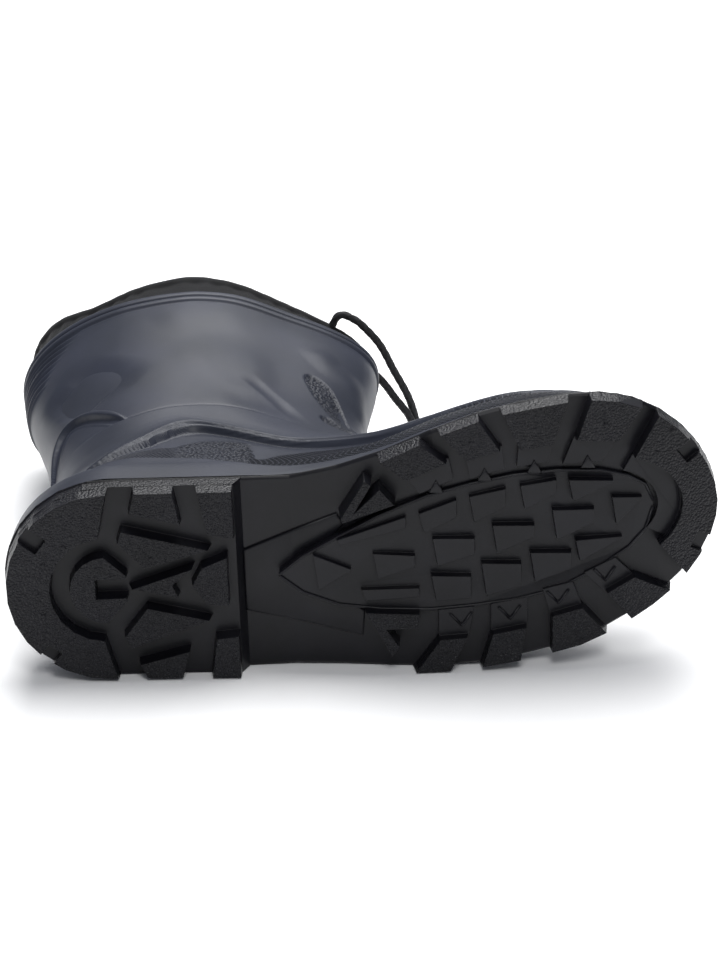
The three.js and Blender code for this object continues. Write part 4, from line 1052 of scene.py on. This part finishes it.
class Colours(bpy.types.PropertyGroup):
    """Colours as sRGB hex values."""

    shell_dark: colour_property("Shell, dark", "Darker tone of the shell's rubber", "#22252e")
    shell_light: colour_property("Shell, light", "Lighter tone of the shell's rubber", "#292c37")
    # Painted shade: the near-black tone that the shell's patterns are darkened toward in their hollows
    shell_painted_shade: colour_property("Shell, holes", "Tone inside the moulded mesh", "#08080a")
    sole_dark: colour_property("Sole, dark", "Darker tone of the tread", "#0c0c10")
    sole_light: colour_property("Sole, light", "Lighter tone of the tread", "#121217")
    collar_dark: colour_property("Collar, dark", "Darker tone of the nylon", "#060608")
    collar_light: colour_property("Collar, light", "Lighter tone of the nylon", "#0c0c0f")
    cord_dark: colour_property("Cord, dark", "Darker tone of the drawcord", "#09090b")
    cord_light: colour_property("Cord, light", "Lighter tone of the drawcord", "#131317")
    felt_dark: colour_property("Insole, dark", "Darker tone of the felt", "#3a3c40")
    felt_light: colour_property("Insole, light", "Lighter tone of the felt", "#505359")
    floor: colour_property("Floor", "Colour of the studio floor", "#fafafa")


class StageSizes(bpy.types.PropertyGroup):
    """Light of the studio, in watts."""

    key: size_property("Key light", "Power of the large light overhead in watts", 24, unit="POWER")
    back: size_property("Back light", "Power of the light behind in watts", 10, unit="POWER")
    fill: size_property("Fill light", "Power of the light at the front in watts", 4, unit="POWER")
    sky: size_property("Surroundings", "Strength of the pale surroundings", 0.24, min=0)


# Camera: its tilt, swing and roll against the boot's tread, in degrees, its distance in mm, the
# point that it is aimed by and that point's place in the photo's 720 by 960 pixels
CAMERA_TILT = 24
CAMERA_SWING = 1
CAMERA_ROLL = 2.6
CAMERA_DISTANCE = 1300
AIM = (52, -1, 0)
AIM_PIXEL = (122, 586)
IMAGE = (720, 960)
FOCAL_PIXELS = 3003
SENSOR = 36


def camera_matrix():
    """The camera's place in the row's frame."""
    tilt, swing, roll = (math.radians(a) for a in (CAMERA_TILT, CAMERA_SWING, CAMERA_ROLL))
    back = Vector((-math.sin(swing), -math.sin(tilt) * math.cos(swing), -math.cos(tilt) * math.cos(swing)))
    back.normalize()
    right = Vector((1, 0, 0))
    right = (right - back * right.dot(back)).normalized()
    up = back.cross(right)
    right, up = (
        right * math.cos(roll) - up * math.sin(roll),
        right * math.sin(roll) + up * math.cos(roll),
    )
    off_x = (AIM_PIXEL[0] - IMAGE[0] / 2) / FOCAL_PIXELS * CAMERA_DISTANCE
    off_y = -(AIM_PIXEL[1] - IMAGE[1] / 2) / FOCAL_PIXELS * CAMERA_DISTANCE
    place = Vector(AIM) + back * CAMERA_DISTANCE - right * off_x - up * off_y
    turned = Matrix((right, up, back)).transposed().to_4x4()
    boot = Matrix(BOOT.tolist())
    scale = Matrix.Scale(1 / MM, 4)
    made = boot @ Matrix.Translation(place) @ turned
    place = made.translation.copy()
    made = (made @ scale).to_3x3().to_4x4()
    made.translation = place
    return made


# Operators


class BOOT_OT_camera(bpy.types.Operator):
    """Add the camera at the photo's viewing angle"""

    bl_idname = "snow_boot.camera"
    bl_label = "Camera"

    def execute(self, context):
        data = bpy.data.cameras.new("camera")
        data.sensor_width = SENSOR
        data.lens = SENSOR * FOCAL_PIXELS / max(IMAGE)
        camera = bpy.data.objects.new("camera", data)
        camera.matrix_world = camera_matrix()
        context.scene.collection.objects.link(camera)
        context.scene.camera = camera
        return {"FINISHED"}


class BOOT_OT_drawcord(bpy.types.Operator):
    """Add the two strands of the drawcord and the knot that joins them"""

    bl_idname = "snow_boot.drawcord"
    bl_label = "Drawcord"

    def execute(self, context):
        material = braid(context.scene.boot_colours)
        knot = self.knot(material)
        for name, points in (("medial", MEDIAL_STRAND), ("lateral", LATERAL_STRAND)):
            path = smooth_path(points, CORD_STEP) * MM
            tube = braided_tube(path)
            faces = grid_faces(len(path), CORD_SIDES)
            made = mesh_object(f"cord_{name}", tube, faces, material)
            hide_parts(f"drawcord_{name}")
        return {"FINISHED"}

    def knot(self, material):
        """The tied knot, wound as a trefoil in its solid's size, with its two tails."""
        turn = np.linspace(0, 2 * math.pi, 160, endpoint=False)
        wound = np.stack(
            [
                np.sin(turn) + 2 * np.sin(2 * turn),
                np.cos(turn) - 2 * np.cos(2 * turn),
                -np.sin(3 * turn),
            ],
            1,
        )
        room = (np.array(KNOT_SIZE) - CORD_DIAMETER) / 2
        wound = wound / np.abs(wound).max(0) * room + np.array(KNOT_AT)
        points = [braided_tube(wound * MM, closed=True)]
        count = len(turn)
        faces = grid_faces(count, CORD_SIDES)
        last = (count - 1) * CORD_SIDES
        for k in range(CORD_SIDES):
            n = (k + 1) % CORD_SIDES
            faces.append([last + k, last + n, n, k])
        for tail in KNOT_TAILS:
            path = smooth_path(tail, CORD_STEP) * MM
            base = sum(len(p) for p in points)
            points.append(braided_tube(path, rounded=(False, True)))
            faces += [[base + v for v in face] for face in grid_faces(len(path), CORD_SIDES)]
        made = mesh_object("cord_knot", np.concatenate(points), faces, material)
        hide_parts("drawcord_knot")
        return made


# Rows and columns of the shell's mesh, closer at the rim and on the side that faces up, and of its
# inner wall and the collar
SHELL_ROWS = 264
RIM_ROWS = 32
RIM_FROM = 0.944
LATERAL_COLUMNS = 64
MEDIAL_COLUMNS = 262
INSIDE_ROWS = 60
INSIDE_COLUMNS = 96
COLLAR_ROWS = 40
COLLAR_COLUMNS = 720

# The rim rolled inwards: sections and depths in mm under the skin
RIM_ROUNDING = [(1.0, -0.3), (1.0, -1.2), (0.999, -1.9), (0.996, -WALL), (0.95, -WALL)]


def even_turns(count):
    """Turns at equal steps all round the boot."""
    return (np.arange(count) + 0.5) * 2 * math.pi / count


class BOOT_OT_shell(bpy.types.Operator):
    """Add the moulded shell with its waves, fin, ribs and rim, and its inner wall"""

    bl_idname = "snow_boot.shell"
    bl_label = "Shell"

    def execute(self, context):
        sizes = context.scene.boot_shell
        material = shell_rubber(context.scene.boot_colours)
        turns = self.turns()
        foot = up_of(SEAT_GAP, turns)
        body = np.linspace(0, RIM_FROM, SHELL_ROWS, endpoint=False)
        levels = np.concatenate([body, np.linspace(RIM_FROM, 1, RIM_ROWS)])[:, None]
        grid = Skin(turns[None, :], mix(foot[None, :], 1.0, levels))
        proud, masks = relief(grid, sizes)
        outer = grid.points + grid.normals * proud[..., None]
        outer[0, :, 2] = grid.points[0, :, 2]
        rounding = [skin(np.full(turns.shape, up), turns, proud) for up, proud in RIM_ROUNDING]
        points = np.concatenate([outer, np.array(rounding)])
        rows, columns = points.shape[:2]
        faces = grid_faces(rows, columns)
        made = mesh_object("shell", to_row(points.reshape(-1, 3)), faces, material)
        extra = np.zeros((len(rounding), columns))
        for name, mask in masks.items():
            attribute(made, name, np.concatenate([mask, extra]))
        attribute(made, "arc_mm", np.concatenate([grid.arc, extra]))
        attribute(made, "height_mm", np.concatenate([grid.height, extra]))
        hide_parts("upper")
        self.inner_wall(material)
        return {"FINISHED"}

    def turns(self):
        """Turns round the shell, closer together on the medial side that faces up."""
        lateral = (np.arange(LATERAL_COLUMNS) + 0.5) * math.pi / LATERAL_COLUMNS
        medial = math.pi + (np.arange(MEDIAL_COLUMNS) + 0.5) * math.pi / MEDIAL_COLUMNS
        return np.concatenate([lateral, medial])

    def inner_wall(self, material):
        """The shell's smooth inside, from the foot to just under the rim."""
        turns = even_turns(INSIDE_COLUMNS)
        foot = up_of(SEAT_GAP, turns)
        levels = np.linspace(1, 0, INSIDE_ROWS)[:, None]
        ups = mix(foot[None, :], 0.995, levels)
        points = skin(ups, np.broadcast_to(turns, ups.shape), np.full(ups.shape, -WALL))
        points = to_row(points.reshape(-1, 3))
        made = mesh_object("shell_inside", points, grid_faces(*ups.shape), material)
        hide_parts("upper")


class BOOT_OT_collar(bpy.types.Operator):
    """Add the gathered nylon collar with its hem"""

    bl_idname = "snow_boot.collar"
    bl_label = "Collar"

    def execute(self, context):
        sizes = context.scene.boot_collar
        material = nylon(context.scene.boot_colours)
        turns = even_turns(COLLAR_COLUMNS)
        outside = self.side(turns, sizes, 0)
        inside = self.side(turns, sizes, CLOTH)
        tuck = 1 - COLLAR_TUCK / SHELL_HEIGHT
        ups = np.full(turns.shape, tuck)
        first = skin(ups, turns, np.full(turns.shape, -WALL - CLEARANCE))
        last = skin(ups, turns, np.full(turns.shape, -WALL - CLEARANCE - CLOTH))
        points = np.concatenate([first[None], outside, inside[::-1], last[None]])
        rows, columns = points.shape[:2]
        faces = grid_faces(rows, columns)
        flat = to_row(points.reshape(-1, 3))
        made = mesh_object("collar_nylon", flat, faces, material)
        steps = np.linalg.norm(np.diff(points, axis=0), axis=-1).mean(1)
        rise = np.concatenate([[0], np.cumsum(steps)])[:, None] + np.zeros(columns)
        girth = np.linalg.norm(np.diff(outside[0], axis=0), axis=-1).sum()
        around = np.broadcast_to(turns / (2 * math.pi) * girth, (rows, columns))
        attribute(made, "rise_mm", rise)
        attribute(made, "round_mm", around)
        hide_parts("collar")
        return {"FINISHED"}

    def side(self, turns, sizes, cloth):
        """One face of the cloth from the shell's rim to the top of the hem."""
        along = skin_point(np.ones(turns.shape), turns)[:, 0] / LENGTH
        height = COLLAR_RISE * follow(COLLAR_TOP, "along", "height", along)
        lean_here = COLLAR_LEAN * follow(COLLAR_TOP, "along", "lean", along)
        uneven = np.sin(7 * turns + 1) + 0.7 * np.sin(13 * turns + 2.2)
        gathers = np.sin(sizes.gathers * turns + 1.4 * uneven)
        rows = []
        for rise in np.linspace(0, 1, COLLAR_ROWS):
            lean = follow(COLLAR_STEPS, "rise", "lean", rise)
            hem = follow(COLLAR_STEPS, "rise", "hem", rise)
            inset = WALL + CLEARANCE + lean * lean_here
            inset = inset + (cloth + HEM * hem if cloth else 0) - hem * HEM / 2
            pull = float(ease(rise, 0.1, 0.7)) * (1 - 0.8 * hem)
            inset = inset - sizes.gather * pull * gathers
            base = skin(np.ones(turns.shape), turns, -inset)
            base[:, 2] += rise * height
            rows.append(base)
        return np.array(rows)


class BOOT_OT_sole(bpy.types.Operator):
    """Finish the moulded outsole and add the small forms of its tread"""

    bl_idname = "snow_boot.sole"
    bl_label = "Outsole"

    def execute(self, context):
        material = sole_rubber(context.scene.boot_colours)
        sole = frame["nodes"]["outsole"]
        sole.data.materials.clear()
        sole.data.materials.append(material)
        self.mark_pebbled(sole)
        self.points = []
        self.faces = []
        for middle in TRIANGLES:
            corners = self.plan(np.add(TRIANGLE_SHAPE, middle))
            self.plate(corners, LOW_LEVEL, LOW_RISE, TRIANGLE_SLOPE)
        for middle in ARROWS:
            corners = self.plan(np.add(ARROW_SHAPE, middle))
            for bar in (corners[:2], corners[1:]):
                self.strip(bar, LOW_LEVEL, LOW_RISE, ARROW_WIDE)
        for side in ("medial", "lateral"):
            line = self.plan(zip(FIELD["along"], FIELD[side]))
            self.strip(line, FIELD_LEVEL, LIP_RISE, LIP_WIDE)
        self.plate(self.plan(WAIST_PLATE), None, WAIST_RISE, WAIST_SLOPE)
        for along, across in PINS:
            self.pin(along * LENGTH, across * BALL_WIDTH)
        points = to_row(np.array(self.points))
        mesh_object("tread_forms", points, self.faces, material)
        return {"FINISHED"}

    def mark_pebbled(self, sole):
        """Marks the faces that touch the ground and the sole's side, which are pebbled."""
        faces = sole.data.polygons
        middles = np.array([sole.matrix_world @ face.center for face in faces])
        normals = np.array([sole.matrix_world.to_3x3() @ face.normal for face in faces])
        middles = (middles - BOOT[:3, 3]) @ BOOT[:3, :3] / MM**2
        normals = normals @ BOOT[:3, :3] / MM
        above = middles[:, 2] - spring_at(middles[:, 0])
        tread = (above < GROUND_NEAR) & (normals[:, 2] < -0.8)
        x, y = middles[:, 0], middles[:, 1]
        outer = np.abs(y - centre_at(x)) > SIDE_FROM * half_at(x)
        side = (np.abs(normals[:, 2]) < 0.35) & (outer | (x < HEEL_END) | (x > TOE_END))
        values = np.where(tread, 1.0, np.where(side, 0.5, 0.0))
        layer = sole.data.attributes.new("pebbled", "FLOAT", "FACE")
        layer.data.foreach_set("value", values.astype(np.float32))

    def plan(self, shares):
        """Shares of the sole's length and width as millimetres."""
        return np.array([(along * LENGTH, across * BALL_WIDTH) for along, across in shares])

    def floor(self, x, level):
        """The height of a tread face: a level above the ground, or the waist's own floor."""
        if level is not None:
            return level + spring_at(x)
        arch = follow(ARCH, "along", "arch", x / LENGTH)
        return LUG_DEPTH + (ARCH_HEIGHT - LUG_DEPTH) * arch + spring_at(x)

    def add(self, rings, flip):
        """Rings of points closed round, with a face across the last."""
        base = len(self.points)
        count = len(rings[0])
        for ring in rings:
            self.points.extend(ring.tolist())
        quads = grid_faces(len(rings), count, flip=flip)
        self.faces += [[base + v for v in quad] for quad in quads]
        cap = [base + (len(rings) - 1) * count + k for k in range(count)]
        self.faces.append(cap[::-1] if flip else cap)

    def plate(self, outline, level, rise, slope):
        """A low raised shape with a sloped edge."""
        area = np.cross(outline, np.roll(outline, -1, 0)).sum()
        rings = []
        for part, drawn_in in PLATE_SECTION:
            moved = inset_outline(outline, drawn_in * slope)
            height = self.floor(moved[:, 0], level) - part * rise
            rings.append(np.column_stack([moved, height]))
        self.add(rings, area > 0)

    def strip(self, line, level, rise, wide):
        """A thin raised lip along a line, round on top."""
        run = np.gradient(line, axis=0)
        run /= np.linalg.norm(run, axis=1, keepdims=True)
        aside = np.column_stack([-run[:, 1], run[:, 0]])
        sections = []
        for across, part in LIP_SECTION:
            moved = line + aside * across * wide
            height = self.floor(moved[:, 0], level) - part * rise
            sections.append(np.column_stack([moved, height]))
        rings = list(np.array(sections).transpose(1, 0, 2))
        self.add(rings, True)

    def pin(self, x, y):
        """A small round stud on the tread."""
        around = np.arange(16) * 2 * math.pi / 16
        rings = []
        for size, up in PIN_RINGS:
            ring = np.column_stack([x + size * np.cos(around), y + size * np.sin(around)])
            rings.append(np.column_stack([ring, self.floor(ring[:, 0], 0) + up]))
        self.add(rings, True)


def inset_outline(outline, inset):
    """A plan outline with each side moved inwards, its corners mitred."""
    sign = np.sign(np.cross(outline, np.roll(outline, -1, 0)).sum())
    before = outline - np.roll(outline, 1, 0)
    before /= np.linalg.norm(before, axis=1, keepdims=True)
    after = np.roll(before, -1, 0)
    normal = np.column_stack([-before[:, 1] - after[:, 1], before[:, 0] + after[:, 0]])
    normal /= np.linalg.norm(normal, axis=1, keepdims=True)
    facing = (normal * np.column_stack([-before[:, 1], before[:, 0]])).sum(1)
    return outline + normal * (sign * inset / np.maximum(facing, 0.35))[:, None]


class BOOT_OT_insole(bpy.types.Operator):
    """Finish the felt insole"""

    bl_idname = "snow_boot.insole"
    bl_label = "Insole"

    def execute(self, context):
        insole = frame["nodes"]["insole"]
        insole.data.materials.clear()
        insole.data.materials.append(felt(context.scene.boot_colours))
        return {"FINISHED"}


class BOOT_OT_stage(bpy.types.Operator):
    """Add the pale floor and the soft studio light"""

    bl_idname = "snow_boot.stage"
    bl_label = "Studio"

    def execute(self, context):
        sizes = context.scene.boot_stage
        half = 4
        mesh = bpy.data.meshes.new("studio_floor")
        corners = [(-half, -half, 0), (half, -half, 0), (half, half, 0), (-half, half, 0)]
        mesh.from_pydata(corners, [], [(0, 1, 2, 3)])
        mesh.materials.append(studio_floor(context.scene.boot_colours))
        floor = bpy.data.objects.new("studio_floor", mesh)
        context.scene.collection.objects.link(floor)
        world = bpy.data.worlds.new("studio")
        world.use_nodes = True
        background = world.node_tree.nodes["Background"]
        background.inputs["Color"].default_value = (0.86, 0.9, 1, 1)
        background.inputs["Strength"].default_value = sizes.sky
        context.scene.world = world
        context.scene.view_settings.view_transform = "Standard"
        self.light("key", (0.05, 0.3, 1.2), 1.0, sizes.key)
        self.light("back", (0.1, 1.2, 1.3), 1.0, sizes.back)
        self.light("front", (0.05, -0.85, 0.85), 0.35, sizes.fill)
        return {"FINISHED"}

    def light(self, name, place, size, power):
        """A square soft light that faces the boot."""
        data = bpy.data.lights.new(name, "AREA")
        data.size = size
        data.energy = power
        made = bpy.data.objects.new(name, data)
        made.location = place
        made.rotation_euler = Vector(place).to_track_quat("Z", "Y").to_euler()
        bpy.context.scene.collection.objects.link(made)


class BOOT_PT_panel(bpy.types.Panel):
    """Lists the boot's pieces with their sizes and colours"""

    bl_idname = "BOOT_PT_panel"
    bl_label = "Snow boot"
    bl_space_type = "VIEW_3D"
    bl_region_type = "UI"
    bl_category = "Snow boot"

    def draw(self, context):
        for operator in OPERATORS:
            self.layout.operator(operator.bl_idname)
        for name in GROUPS:
            box = self.layout.box()
            group = getattr(context.scene, name)
            for key in group.__annotations__:
                box.prop(group, key)


OPERATORS = (
    BOOT_OT_camera,
    BOOT_OT_drawcord,
    BOOT_OT_shell,
    BOOT_OT_collar,
    BOOT_OT_sole,
    BOOT_OT_insole,
    BOOT_OT_stage,
)
GROUPS = {
    "boot_shell": ShellSizes,
    "boot_collar": CollarSizes,
    "boot_colours": Colours,
    "boot_stage": StageSizes,
}


def register():
    for kind in (*GROUPS.values(), *OPERATORS, BOOT_PT_panel):
        bpy.utils.register_class(kind)
    for name, kind in GROUPS.items():
        setattr(bpy.types.Scene, name, bpy.props.PointerProperty(type=kind))


def unregister():
    for name in GROUPS:
        delattr(bpy.types.Scene, name)
    for kind in reversed((*GROUPS.values(), *OPERATORS, BOOT_PT_panel)):
        bpy.utils.unregister_class(kind)


def main():
    register()
    bpy.ops.snow_boot.camera()
    bpy.ops.snow_boot.drawcord()
    bpy.ops.snow_boot.shell()
    bpy.ops.snow_boot.collar()
    bpy.ops.snow_boot.sole()
    bpy.ops.snow_boot.insole()
    bpy.ops.snow_boot.stage()


if __name__ == "__main__":
    main()
